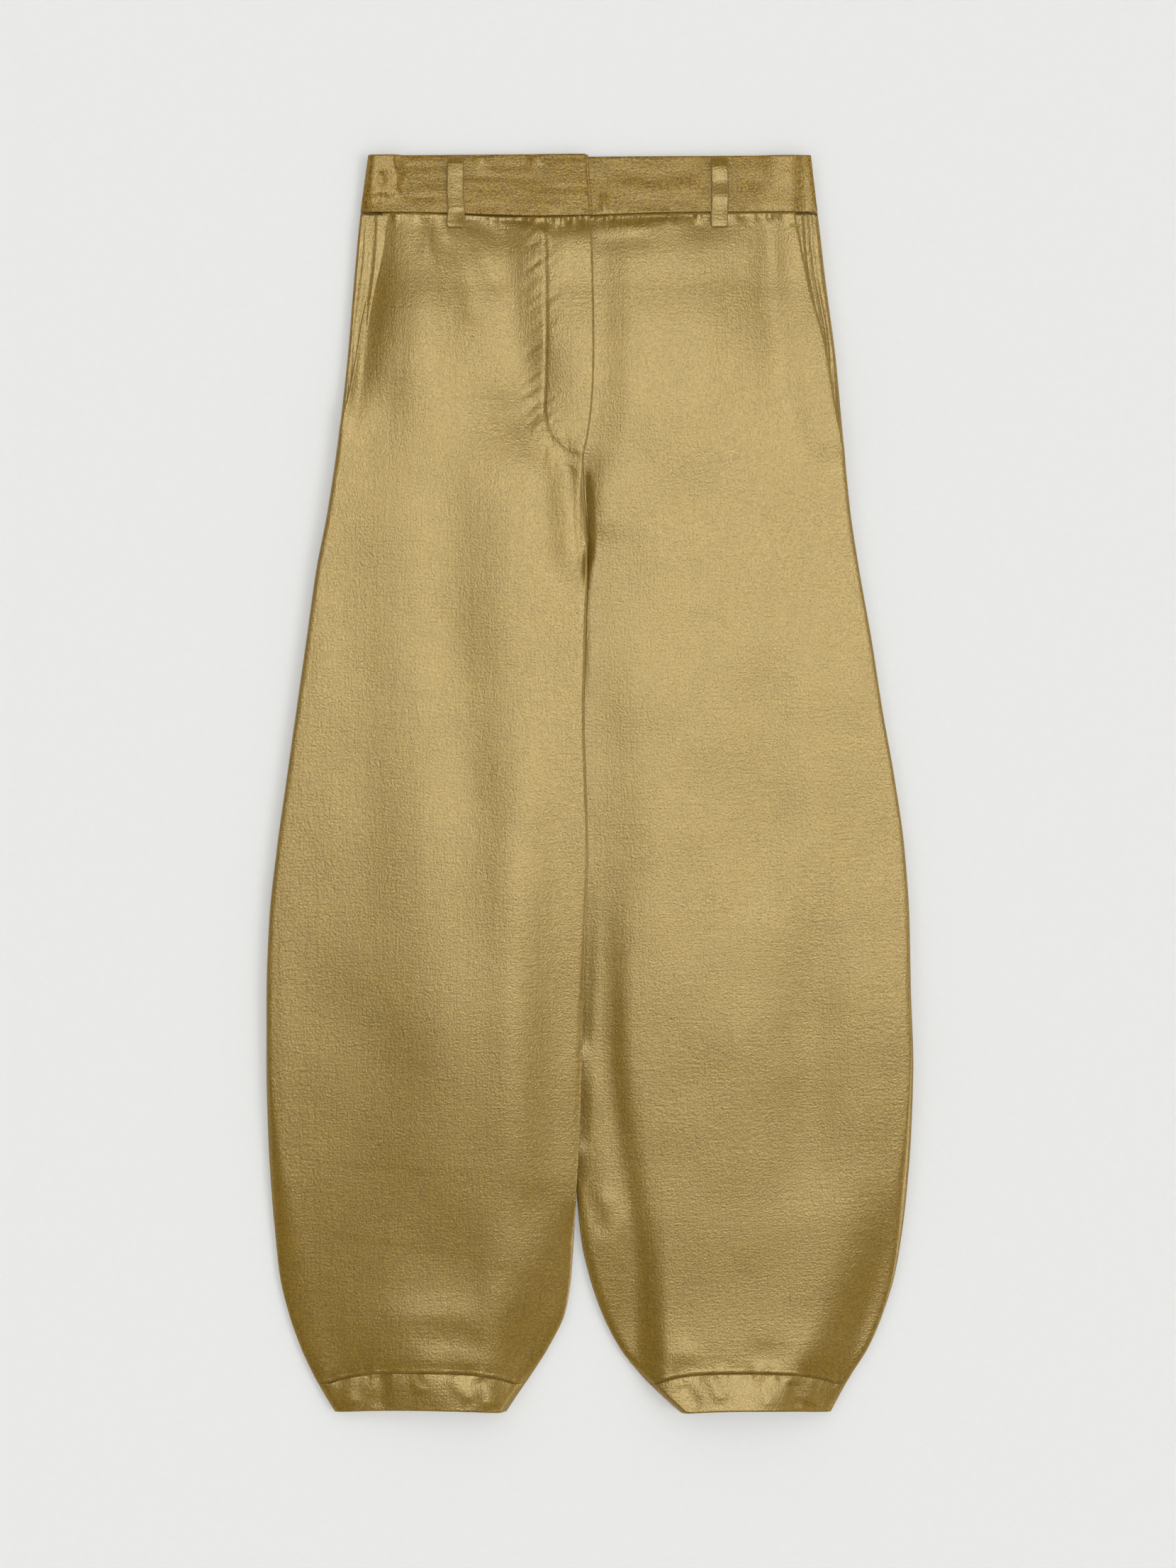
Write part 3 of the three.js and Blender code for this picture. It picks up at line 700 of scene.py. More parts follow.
def band_skin(side):
    def skin(x, down, after, before):
        top = band_low(side, x, down) + BAND_WALL + band_form(side, x, down)
        folds = lay(BAND_CREASES[side], x, down)
        wrinkles = slow_waves(x * 0.2, down, own_seed(side, 12), 0.07, 7, 24)
        gather = puckers(x, own_seed(side, 38), -200, 200, 6, 0.3) * hump(before, 4)
        rolled = 0.6 * quarter_round(after / 1.6) + 0.3 * quarter_round(before / 1.0)
        return top + folds * fade((-1, 3), after) + wrinkles + gather - rolled

    return skin


def band_back_skin(x, down, after, before):
    wrinkles = np.abs(slow_waves(x * 0.16, down, 14, 0.14, 6, 17))
    return LOOP_ROOM + wrinkles + 0.5 * quarter_round(after / 1.6) + 0.5 * quarter_round(before / 1.8)


def facing_skin(side):
    outward = -1 if side == "right" else 1

    def skin(x, down, after, before):
        top = lift_of(side, x, down) + 2 * WALL + ROOM_FACING + 0.6 * body_rise(down)
        inward = (outer_edge(side, down) - x) * outward
        streaks = puckers(inward + 1.2 * np.sin(down / 19), own_seed(side, 41), -2, 32, 3.4, 0.5)
        return top + streaks * fade((1, 5), inward)

    return skin


print("waistband lies from", BAND_LOW, "mm up, and its lapping end from", BAND_LAP_LOW)

# %% [markdown]
# ## From skins to closed cloth
#
# A piece of cloth is a grid of points on its skin and a second grid just below, joined all round. Its
# sides turn down to the side seams in a quarter round. The grid is fine where stitches and puckers are,
# and coarser down the legs. Subdividing a coarse mesh would be shorter, but would blur the creases.

# %% Building the grids
TURN_STEPS = np.array([0, 0.012, 0.05, 0.11, 0.2, 0.32, 0.48, 0.7, 1])
# a side turns over at most this share of the piece, and both faces meet this near to its seam
MOST_TURN = 0.4
MEETING_GAP = 0.05


def spaced(*runs):
    """Positions along a length, from runs of (start, end, step)."""
    parts = [np.linspace(a, b, max(2, int(round((b - a) / step)) + 1))[:-1] for a, b, step in runs]
    return np.concatenate(parts + [[runs[-1][1]]])


def side_of(x, reach, full, seam):
    return {"x": x, "turn": reach, "full": full, "seam": seam}


def cloth_grid(low, high, start, end, skin, rows, shares, thick, faces="up"):
    """Outer and inner points of one piece. low and high are its two sides, in the order of x."""
    count = len(TURN_STEPS)
    step = np.concatenate([TURN_STEPS, np.zeros(len(shares)), TURN_STEPS[::-1]])
    share = np.concatenate([np.zeros(count), shares, np.ones(count)])[None, :]
    fold_low = low["x"](np.array(BAND_DEEP)) + low["turn"](np.array(BAND_DEEP))
    fold_high = high["x"](np.array(BAND_DEEP)) - high["turn"](np.array(BAND_DEEP))
    seam_x = mix(fold_low, fold_high, share)
    top, bottom = start(share, seam_x), end(share, seam_x)
    along = (rows / rows[-1])[:, None]
    down = mix(top, bottom, along)
    most = (high["x"](down) - low["x"](down)) * MOST_TURN
    reach = {id(side): np.minimum(side["turn"](down), most) for side in (low, high)}
    flat_x = mix(low["x"](down) + reach[id(low)], high["x"](down) - reach[id(high)], share)
    outer_x, inner_x = flat_x.copy(), flat_x.copy()
    columns = {id(low): np.arange(count), id(high): np.arange(count) + count + len(shares)}
    for side, inward in ((low, 1), (high, -1)):
        cols = columns[id(side)]
        d, far = down[:, cols], reach[id(side)][:, cols]
        full = side["full"](d)
        outer_x[:, cols] = side["x"](d) + inward * step[cols] * far
        inner_x[:, cols] = side["x"](d) + inward * mix(full * thick, far, step[cols])
    sign = 1 if faces == "up" else -1
    after, before = down - top, bottom - down
    outer_z = skin(outer_x, down, after, before)
    inner_z = skin(inner_x, down, after, before) - sign * thick
    for side in (low, high):
        cols = columns[id(side)]
        d = down[:, cols]
        drop = side["full"](d) * quarter_round(step[cols])
        meet = side["seam"](d) + sign * MEETING_GAP
        outer_z[:, cols] = mix(outer_z[:, cols], meet, drop)
        inner_z[:, cols] = mix(inner_z[:, cols], meet, drop)
    outer = np.stack([outer_x, MID_Y - down, outer_z], axis=-1)
    inner = np.stack([inner_x, MID_Y - down, inner_z], axis=-1)
    return (outer, inner) if faces == "up" else (inner, outer)


def closed_mesh(upper, lower):
    """Points and faces of the closed cloth between an upper and a lower grid."""
    rows, columns = upper.shape[:2]
    count = rows * columns
    index = np.arange(count).reshape(rows, columns)
    a, b = index[:-1, :-1].ravel(), index[:-1, 1:].ravel()
    c, d = index[1:, 1:].ravel(), index[1:, :-1].ravel()
    faces = np.concatenate([np.stack([a, d, c, b], 1), count + np.stack([a, b, c, d], 1)])
    rim = np.concatenate([index[:-1, 0], index[-1, :-1], index[:0:-1, -1], index[0, :0:-1]])
    after = np.roll(rim, -1)
    faces = np.concatenate([faces, np.stack([after, rim, rim + count, after + count], 1)])
    return np.concatenate([upper.reshape(-1, 3), lower.reshape(-1, 3)]), faces


def make_piece(name, solids, material, stands_for=(), sharp=50):
    """One object from one or more closed meshes, riding on the garment's only body."""
    points, faces, before = [], [], 0
    for one_points, one_faces in solids:
        points.append(one_points)
        faces.extend((one_faces + before).tolist())
        before += len(one_points)
    mesh = bpy.data.meshes.new(name)
    mesh.from_pydata((np.concatenate(points) * MM).tolist(), [], faces)
    mesh.validate()
    mesh.shade_smooth()
    mesh.set_sharp_from_angle(angle=np.radians(sharp))
    mesh.materials.append(material)
    piece = bpy.data.objects.new(name, mesh)
    bpy.context.scene.collection.objects.link(piece)
    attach(piece, "root")
    if stands_for:
        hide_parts(*stands_for)
    triangles = sum(len(face) - 2 for face in faces)
    print(name, "has", triangles, "triangles")
    return piece


# %% [markdown]
# ## Materials: how the nodes are made
#
# Every finish is a Principled shader whose colour and bump come from patterns at real sizes. Small
# helpers do the wiring: one turns a hex colour as seen on screen into the linear one that the shader
# works with, one adds a node with its settings and links, and four more add what comes back often.
# Satin's relief is worked out in millimetres and goes into one bump node whose distance is 1 mm.

# %% Helpers for materials


def screen_colour(hex_code):
    channels = [int(hex_code[i : i + 2], 16) / 255 for i in (1, 3, 5)]
    linear = [c / 12.92 if c <= 0.04045 else ((c + 0.055) / 1.055) ** 2.4 for c in channels]
    return (*linear, 1.0)


def add_node(tree, kind, inputs=None, **settings):
    """A node with its settings. An input is a value, or another node's output to link to."""
    node = tree.nodes.new(kind)
    for name, value in settings.items():
        setattr(node, name, value)
    for name, value in (inputs or {}).items():
        if isinstance(value, bpy.types.NodeSocket):
            tree.links.new(value, node.inputs[name])
        else:
            node.inputs[name].default_value = value
    return node


def new_material(name):
    material = bpy.data.materials.new(name)
    material.use_nodes = True
    material.node_tree.nodes.clear()
    return material, material.node_tree


def noise(tree, place, scale, **more):
    inputs = {"Vector": place, "Scale": scale, **more}
    return add_node(tree, "ShaderNodeTexNoise", inputs).outputs["Fac"]


def ranged(tree, value, seen, given, soft=True):
    """A value turned from one range into another."""
    ends = {"From Min": seen[0], "From Max": seen[1], "To Min": given[0], "To Max": given[1]}
    kind = "SMOOTHSTEP" if soft else "LINEAR"
    node = add_node(tree, "ShaderNodeMapRange", {"Value": value, **ends}, interpolation_type=kind)
    return node.outputs["Result"]


def two_tones(tree, share, first, second):
    inputs = {"Factor": share, "A": screen_colour(first), "B": screen_colour(second)}
    return add_node(tree, "ShaderNodeMix", inputs, data_type="RGBA").outputs["Result"]


def finish_with(tree, inputs):
    shader = add_node(tree, "ShaderNodeBsdfPrincipled", inputs)
    add_node(tree, "ShaderNodeOutputMaterial", {"Surface": shader.outputs[0]})


print("#8a6d36 in linear light:", [round(c, 3) for c in screen_colour("#8a6d36")])

# %% [markdown]
# ## Crepe-back satin
#
# The cloth is a satin of fine filament yarn, washed once and pressed by hand. Satin is woven with long
# floats on its face: that gives the eye a soft golden gloss over a deep ochre ground, bright where the
# cloth faces the lamp and dark in every hollow. The yarn is dyed through, so the gloss itself is tinted.
# Real floats are 0.1 mm wide, far too fine to show from here, so the grain is drawn about 1.3 mm wide.
# Washing leaves faint slanting creases 10 to 30 mm long and streaks along the warp.

# %% Satin as a material


def relief(tree, place, turn_by, scale, amount, detail=2.0, keep=(0.0, 1.0)):
    """Noise relief in millimetres. scale is patterns per metre along x, y and z of the turned cloth."""
    turning = {"Vector": place, "Rotation": (0, 0, np.radians(turn_by))}
    turned = add_node(tree, "ShaderNodeMapping", turning).outputs[0]
    sized = add_node(tree, "ShaderNodeMapping", {"Vector": turned, "Scale": scale}).outputs[0]
    pattern = noise(tree, sized, 1.0, Detail=detail)
    return ranged(tree, pattern, keep, (0.0, amount), soft=keep != (0.0, 1.0))


def added(tree, outputs):
    total = outputs[0]
    for output in outputs[1:]:
        total = add_node(tree, "ShaderNodeMath", {0: total, 1: output}, operation="ADD").outputs[0]
    return total


def satin(name, ground, light, streak_turn, gloss_tint, gloss_level, roughness, crease_strength):
    material, tree = new_material(name)
    place = add_node(tree, "ShaderNodeTexCoord").outputs["Object"]
    grain = relief(tree, place, 18, (760, 620, 500), 0.17, detail=1.0)
    floats = relief(tree, place, streak_turn, (560, 64, 60), 0.07, detail=1.0)
    picks = relief(tree, place, streak_turn, (56, 500, 60), 0.06, detail=1.0)
    streaks = relief(tree, place, streak_turn, (190, 5, 30), 0.040, detail=0.0)
    wash = [
        relief(tree, place, 72, (30, 200, 40), 0.035 * crease_strength, 1.0, (0.6, 0.9)),
        relief(tree, place, -8, (26, 190, 40), 0.035 * crease_strength, 1.0, (0.6, 0.9)),
    ]
    clouds = relief(tree, place, 30, (30, 22, 30), 0.11 * crease_strength, detail=1.0)
    height = added(tree, [grain, floats, picks, streaks, clouds] + wash)
    bump = add_node(tree, "ShaderNodeBump", {"Height": height, "Distance": MM, "Strength": 1.0})
    tones = {0: noise(tree, place, 46.0, Detail=1.0), 1: 0.14, 2: noise(tree, place, 640.0, Detail=1.0)}
    share = add_node(tree, "ShaderNodeMath", tones, operation="MULTIPLY_ADD").outputs[0]
    tone = ranged(tree, share, (0.4, 0.74), (0.0, 1.0), soft=False)
    gloss = {
        "Base Color": two_tones(tree, tone, ground, light),
        "Roughness": roughness,
        "IOR": 1.8,
        "Specular IOR Level": gloss_level,
        "Specular Tint": screen_colour(gloss_tint),
        "Normal": bump.outputs["Normal"],
    }
    finish_with(tree, gloss)
    return material


# name, ground, light, turn of the streaks, tint and level of the gloss, roughness, strength of creases
leg_satin = satin("crepe_satin_along_the_warp", "#624911", "#7f631c", 0, "#ffe9b0", 0.5, 0.3, 1.0)
# the band is the legs' satin with its ground colour painted darker: painted shade for the weaker gloss of
# satin cut across the warp
band_satin_with_painted_shade = satin("crepe_satin_across_the_warp_with_painted_shade", "#4d360a", "#8d6c1c", 90, "#ffe7ab", 0.42, 0.32, 0.8)
print("made", leg_satin.name, "and", band_satin_with_painted_shade.name)

# %% [markdown]
# ## Sewing thread
#
# The seams are sewn with spun polyester dyed to match. Spun thread is matt and a little fuzzy, so it
# reads as fine dark and light dashes in the gloss of the satin. The bar tacks use a brighter olive one.

# %% Thread as a material


def sewing_thread(name, colour, twist_colour):
    material, tree = new_material(name)
    place = add_node(tree, "ShaderNodeTexCoord").outputs["Object"]
    wave = {"Vector": place, "Scale": 900.0, "Distortion": 1.5}
    twist = add_node(tree, "ShaderNodeTexWave", wave).outputs["Fac"]
    tone = two_tones(tree, twist, colour, twist_colour)
    bump = add_node(tree, "ShaderNodeBump", {"Height": twist, "Distance": 0.00006}).outputs["Normal"]
    finish_with(tree, {"Base Color": tone, "Roughness": 0.7, "IOR": 1.5, "Normal": bump})
    return material


seam_thread = sewing_thread("spun_polyester_thread", "#5d4a1c", "#8a7134")
tack_thread = sewing_thread("olive_bar_tack_thread", "#8c7c30", "#b0a04c")
print("made", seam_thread.name, "and", tack_thread.name)

# %% [markdown]
# ## Leg panels
#
# Each leg has a front and a back panel. On the front, the pocket edge and the fly are folded edges: they
# round down onto what lies below. Further down the same edge comes out to the side seam and turns down
# to meet the back.

# %% Sides of the leg panels
FAR = 900.0


def below_crotch(down):
    """0 above the crotch and 1 where the inseam is sewn."""
    return fade((CROTCH - 4, OVERLAP_FROM - 4), down)


def seam_height(side, outer, x, down):
    inward = 1 if (side == "right") == outer else -1
    at = x(down) + inward * 6
    end = POCKET_END[side]
    pocket = 1 - fade((end + 1, end + 26), down) if outer else 0
    room = mix(room_of(side, at, down), ROOM_FACING, pocket)
    return lift_of(side, at, down) + WALL + room / 2


def whole(down):
    return np.ones(np.shape(down))


def none(down):
    return np.zeros(np.shape(down))


def steady(value):
    return lambda down: value * whole(down)


def leg_side(side, which):
    name = which + "_" + side
    x = left_leg_edge if name == "inner_left" else edge[name]

    def reach(down):
        crisp = {"inner_left": 0, "inner_right": 1 - fade((640, 800), down)}
        return mix(turn[name](down), 2.2, crisp.get(name, 1 - fade((700, 940), down)))

    return side_of(x, reach, whole, lambda down: seam_height(side, which == "outer", x, down))


def in_order(side, outer, inner):
    return (outer, inner) if side == "right" else (inner, outer)


def folded_top(side, x, down, drop):
    """Height that a folded edge rounds down to, a little under the layer's own top."""
    return front_skin(side)(x, down, down - waist_seam(x) - SEAM, FAR) - drop


def pocket_edge(side):
    outer = leg_side(side, "outer")
    inward = 1 if side == "right" else -1
    end = POCKET_END[side]

    def x(down):
        closed = 1 - fade((end, end + 12), down)
        return outer["x"](down) + inward * pocket_strip[side](np.minimum(down, end)) * closed

    def meets(down):
        opening = 1 - fade((end - 4, end + 26), down)
        return mix(outer["seam"](down), folded_top(side, x(down), down, 1.3), opening)

    def reach(down):
        return mix(outer["turn"](down), 2.2, 1 - fade((end, end + 26), down))

    return side_of(x, reach, whole, meets)


def right_front_centre():
    inner = leg_side("right", "inner")

    def meets(down):
        folded = folded_top("right", centre_right(down), down, 1.2)
        return mix(folded, inner["seam"](down), below_crotch(down))

    def reach(down):
        return mix(2.0, inner["turn"](down), below_crotch(down))

    return side_of(centre_right, reach, whole, meets)


def left_front_centre():
    inner = leg_side("left", "inner")

    def x(down):
        seamed = fade((FLY_END - 32, FLY_END - 12), down)
        above = mix(fly_edge(down) - 12, fly_edge(down) + SEAM, seamed)
        return np.where(down >= CROTCH, left_leg_edge(down), above)

    return side_of(x, inner["turn"], below_crotch, inner["seam"])


def cover(node, solids, material=leg_satin):
    """The cloth that stands for one solid of the model."""
    return make_piece(f"satin_{node}", solids, material, [node])


def leg_panel(node, low, high, skin, rows, shares, faces="up"):
    """A panel from the waist seam to the hem seam."""
    grids = cloth_grid(
        low,
        high,
        lambda share, seam_x: waist_seam(seam_x) + SEAM,
        lambda share, seam_x: hem_seam(share),
        skin,
        rows,
        shares,
        CLOTH,
        faces,
    )
    return cover(node, [closed_mesh(*grids)])


# %% Fronts
FRONT_ROWS = spaced((0, 7, 0.7), (7, 214, 1.9), (214, 954, 3.1), (954, 966, 0.9))
DENSE_INNER = {
    "right": spaced((0, 0.7, 0.0125), (0.7, 1, 0.0062))[1:-1],
    "left": spaced((0, 0.26, 0.0075), (0.26, 1, 0.0125))[1:-1],
}


def front_panel(side, centre):
    low, high = in_order(side, pocket_edge(side), centre)
    return leg_panel(f"front_{side}", low, high, front_skin(side), FRONT_ROWS, DENSE_INNER[side])


front_right = front_panel("right", right_front_centre())
front_left = front_panel("left", left_front_centre())

# %% Backs
BACK_ROWS = spaced((0, 6, 1.2), (6, 954, 4.6), (954, 966, 1.5))
BACK_SHARES = spaced((0, 1, 0.02))[1:-1]


def back_panel(side):
    inseam = leg_side(side, "inner")
    beside = 0 if side == "right" else SEAM

    def x(down):
        return np.where(down < CROTCH, centre_seam(down) + beside, inseam["x"](down))

    sewn = side_of(x, inseam["turn"], below_crotch, inseam["seam"])
    low, high = in_order(side, leg_side(side, "outer"), sewn)
    return leg_panel(f"back_{side}", low, high, back_skin(side), BACK_ROWS, BACK_SHARES, "down")


back_right = back_panel("right")
back_left = back_panel("left")

# %% [markdown]
# ## Pocket facings
#
# Outside the slanted pocket edge a strip of the pocket's facing shows. It is cut from the same satin and
# runs on under the front. The pull of the pocket gives it fine creases that follow the edge.

# %% Facings
FACING_TOP = 52


def pocket_facing(side):
    outer = leg_side(side, "outer")
    inward = 1 if side == "right" else -1
    under = side_of(
        lambda down: outer["x"](down) + inward * (pocket_strip[side](down) + 12),
        steady(6),
        none,
        none,
    )
    low, high = in_order(side, outer, under)
    end = POCKET_END[side] - SEAM
    grids = cloth_grid(
        low,
        high,
        lambda share, seam_x: FACING_TOP + 0 * seam_x,
        lambda share, seam_x: end + 0 * seam_x,
        facing_skin(side),
        spaced((0, end - FACING_TOP, 2.4)),
        spaced((0, 1, 0.07))[1:-1],
        CLOTH,
    )
    return cover(f"pocket_facing_{side}", [closed_mesh(*grids)])


facing_right = pocket_facing("right")
facing_left = pocket_facing("left")

# %% [markdown]
# ## Hems
#
# The hem is a separate look: a doubled band about 33 mm deep, turned up and stitched from inside, with a
# rounded lower edge. It is thicker than the leg, so its edge throws a fine line of shade.

# %% Hem bands


def hem_band(side, face):
    low, high = in_order(side, leg_side(side, "outer"), leg_side(side, "inner"))
    front = face == "front"
    grids = cloth_grid(
        low,
        high,
        lambda share, seam_x: hem_seam(share) + SEAM,
        lambda share, seam_x: hem_edge(share),
        hem_skin(side, face),
        spaced((0, 3, 0.5), (3, 30, 1.2 if front else 2.7), (30, 33, 0.4)),
        spaced((0, 1, 0.009 if front else 0.02))[1:-1],
        DOUBLED_CLOTH if front else 0.8,
        faces="up" if front else "down",
    )
    return cover(f"hem_{face}_{side}", [closed_mesh(*grids)])


hems = {(face, side): hem_band(side, face) for face in ("front", "back") for side in ("right", "left")}

# %% [markdown]
# ## Waistband
#
# The band is cut across the grain and leans back from the lamp. Its ground colour is painted darker than
# the legs', a painted shade for the weaker gloss of satin cut across the grain, so it looks darker than
# the legs. Its right end laps over the left one. A pressed end is two layers folded in: the inner one
# peeps out past the outer, which gives a bright line beside a dark one.

# %% Waistband


def band_side(name):
    return side_of(edge[name], steady(6), whole, steady(LOOP_ROOM + BAND_WALL + 0.5))


def band_end(side, x):
    low = BAND_LAP_LOW if side == "right" else BAND_TUCKED_LOW

    def meets(down):
        return low + BAND_WALL - 0.8 + band_form(side, x(down), down)

    return side_of(x, steady(1.4), whole, meets)


def band_top(side, share):
    centre = 0 if side == "right" else 2.4
    return mix(1.2, centre, share if side == "right" else 1 - share)


def waistband_front(side):
    right = side == "right"
    x = fly_edge if right else (lambda down: fly_edge(down) - 14)
    low, high = in_order(side, band_side("outer_" + side), band_end(side, x))
    grids = cloth_grid(
        low,
        high,
        lambda share, seam_x: band_top(side, share),
        lambda share, seam_x: waist_seam(seam_x),
        band_skin(side),
        spaced((0, 3, 0.5), (3, 46, 1.0), (46, 49, 0.5)),
        spaced((0, 1, 0.0085))[1:-1],
        DOUBLED_CLOTH,
    )
    solids = [closed_mesh(*grids)]
    if right:
        solids.append(lap_layer())
    return cover(f"waistband_front_{side}", solids, band_satin_with_painted_shade)


def lap_layer():
    """The inner layer of the lapping end, a narrow strip that peeps out past the outer one."""
    low = side_of(lambda down: fly_edge(down) - 7, whole, none, none)
    high = side_of(
        lambda down: fly_edge(down) + 1.9 + 0.3 * np.sin(down / 5),
        whole,
        whole,
        lambda down: BAND_LAP_LOW + 0.3 + band_form("right", 0, down),
    )

    def skin(x, down, after, before):
        return BAND_LAP_LOW + 0.65 + band_form("right", x, down) - 0.2 * quarter_round(after)

    grids = cloth_grid(
        low,
        high,
        lambda share, seam_x: 0.8 + 0 * seam_x,
        lambda share, seam_x: waist_seam(seam_x) - 0.4,
        skin,
        spaced((0, 48, 2.0)),
        spaced((0, 1, 0.2))[1:-1],
        CLOTH,
    )
    return closed_mesh(*grids)


def waistband_back():
    grids = cloth_grid(
        band_side("outer_right"),
        band_side("outer_left"),
        lambda share, seam_x: mix(2.4, 1.4, (2 * share - 1) ** 2),
        lambda share, seam_x: waist_seam(seam_x),
        band_back_skin,
        spaced((0, 3, 1.0), (3, 46, 2.4), (46, 49, 1.0)),
        spaced((0, 1, 0.0085))[1:-1],
        DOUBLED_CLOTH,
        faces="down",
    )
    return cover("waistband_back", [closed_mesh(*grids)], band_satin_with_painted_shade)


band_right = waistband_front("right")
band_left = waistband_front("left")
band_back = waistband_back()

# %% [markdown]
# ## Belt loops
#
# A belt loop is a folded strip about 14 mm wide, sewn down at both ends. It could be a bent flat box, but
# the real one has folded edges, sags between its ends and has a kink above the lower one, so its path
# and its cross-section are drawn point by point.

# %% Belt loops
LOOP_WIDE = 14.4
LOOP_TOP = 2.5
LOOP_END = 62
LOOP_X = {"right": -112, "left": 108}
# down, height above the ground, and how far it strays sideways
LOOP_PATH = {
    "right": [
        (2.5, 0.3, 0.2),
        (5, 1.0, 0.1),
        (9, 1.9, 0),
        (24, 1.35, -0.4),
        (34, 1.0, -0.2),
        (43, 0.85, 0.5),
        (47, 1.0, 0.7),
        (54, 0.8, 0.2),
        (59, 0.5, 0),
        (62, 0.3, 0),
    ],
    "left": [
        (2.5, 0.3, -0.3),
        (6, 1.0, -0.3),
        (11, 1.8, -0.2),
        (18, 1.45, 0),
        (24, 1.05, 0.2),
        (35, 1.45, 0.3),
        (44, 0.95, 0),
        (51, 0.85, -0.3),
        (57, 0.65, -0.2),
        (62, 0.3, 0),
    ],
}


def loop_solid(path, centre, ground, sign=1):
    rows = spaced((LOOP_TOP, LOOP_END, 0.8))
    rise, stray = curve_through(path, 1)(rows), curve_through(path, 2)(rows)
    across = np.array([-1, -0.985, -0.93, -0.82, -0.6, -0.3, 0, 0.3, 0.6, 0.82, 0.93, 0.985, 1])
    edge_drop = 0.42 * quarter_round((1 - np.abs(across)) / 0.16)
    crown = 0.22 * (1 - across**2) - 0.16 * hump(np.abs(across) - 0.72, 0.1)
    x = centre + stray[:, None] + across[None, :] * LOOP_WIDE / 2
    down = np.repeat(rows[:, None], len(across), axis=1)
    low = ground(x, down) + sign * rise[:, None]
    upper = low + sign * (1.0 + crown - edge_drop)[None, :]
    lower = low + sign * (0.1 + edge_drop)[None, :]
    end_round = 0.35 * (quarter_round((down - LOOP_TOP) / 1.2) + quarter_round((LOOP_END - down) / 1.2))
    top = np.stack([x, MID_Y - down, upper - sign * end_round], axis=-1)
    bottom = np.stack([x, MID_Y - down, lower], axis=-1)
    return closed_mesh(top, bottom) if sign == 1 else closed_mesh(bottom, top)


def front_loop(side):
    skin = front_skin(side)
    band = band_skin(side)

    def ground(x, down):
        """The loop lies on the band down to its seam, spans the seam and ends on the front."""
        upper = np.minimum(down, BAND_DEEP - 4)
        lower = np.maximum(down, LOOP_END - 1.5)
        on_band = band(x, upper, upper - 1, 9.0)
        on_leg = skin(x, lower, lower - waist_seam(x), FAR)
        return mix(on_band, on_leg, fade((BAND_DEEP - 4, LOOP_END), down))

    return cover(f"belt_loop_front_{side}", [loop_solid(LOOP_PATH[side], LOOP_X[side], ground)])


def back_loop(name, centre):
    path = [(2.5, 0.12, 0), (10, 0.0, 0.2), (30, 0.05, -0.2), (54, 0.0, 0.1), (62, 0.12, 0)]
    solid = loop_solid(path, centre, lambda x, down: LOOP_WALL + 0.25 + 0 * x, sign=-1)
    return cover(f"belt_loop_back_{name}", [solid])


loops = [front_loop("right"), front_loop("left")]
loops += [back_loop("right", -126), back_loop("centre", 0), back_loop("left", 126)]

# %% [markdown]
# ## Stitches
#
# A lockstitch is a short piece of thread that dives into the cloth at both ends. Each is a small tube
# that swells in its middle. A dashed texture would be cheaper, but it would not stand up from the cloth.

# %% Stitches as small tubes


def walk(points, step):
    """Evenly spaced points along a line."""
    points = np.array(points, float)
    lengths = np.concatenate([[0], np.cumsum(np.hypot(*np.diff(points, axis=0).T))])
    at = np.arange(0, lengths[-1], step)
    return np.stack([np.interp(at, lengths, points[:, 0]), np.interp(at, lengths, points[:, 1])], axis=1)


def stitch_tube(start, end, radius):
    """One stitch between two points: a tube of five rings that is thickest in its middle."""
    line = end - start
    length = np.linalg.norm(line)
    ahead = line / length
    across = np.cross((0, 0, 1), ahead)
    across = across / np.linalg.norm(across)
    up = np.cross(ahead, across)
    shares = [0, 0.18, 0.5, 0.82, 1]
    swell = [0.35, 0.85, 1.0, 0.85, 0.35]
    sink = [-0.8, -0.15, 0.15, -0.15, -0.8]
    angles = np.arange(6) * np.pi / 3
    points = []
    for share, fat, low in zip(shares, swell, sink):
        middle = start + line * share + up * radius * low
        points += [middle + radius * fat * (np.cos(a) * across + np.sin(a) * up) for a in angles]
    faces = [
        [6 * r + k, 6 * r + (k + 1) % 6, 6 * r + 6 + (k + 1) % 6, 6 * r + 6 + k]
        for r in range(4)
        for k in range(6)
    ]
    caps = [[5, 4, 3, 0], [3, 2, 1, 0], [24, 25, 26, 27], [24, 27, 28, 29]]
    return np.array(points), np.array(faces + caps)


def lying_on(surface, ends, lift=0.0):
    """Points of (x, down) as places in space, on a surface."""
    return [np.array([x, MID_Y - down, float(surface(x, down)) + lift]) for x, down in ends]


def sew(name, line, surface, pitch, length, radius, material, seed, stray=0.12):
    """A row of stitches along a line of (x, down), lying on a surface."""
    draw = np.random.default_rng(seed)
    stops = walk(line, pitch)
    ahead = np.gradient(stops, axis=0)
    ahead = ahead / np.hypot(*ahead.T)[:, None]
    solids = []
    for stop, way in zip(stops, ahead):
        way = way + draw.uniform(-0.12, 0.12, 2)
        middle = stop + draw.uniform(-stray, stray, 2)
        ends = [middle - way * length / 2, middle + way * length / 2]
        solids.append(stitch_tube(*lying_on(surface, ends), radius * draw.uniform(0.85, 1.15)))
    return make_piece(name, solids, material, sharp=80)


def on_front(side):
    skin = front_skin(side)
    return lambda x, down: skin(x, down, down - waist_seam(x) - SEAM, FAR) + 0.1


# the last values are the pitch, length and radius of the stitches in millimetres, the thread and a seed
sew("fly_stitching", walk(J_STITCH, 1.0), on_front("right"), 2.5, 1.9, 0.24, seam_thread, 51)

# %% Stitches of the waist seam and the hems


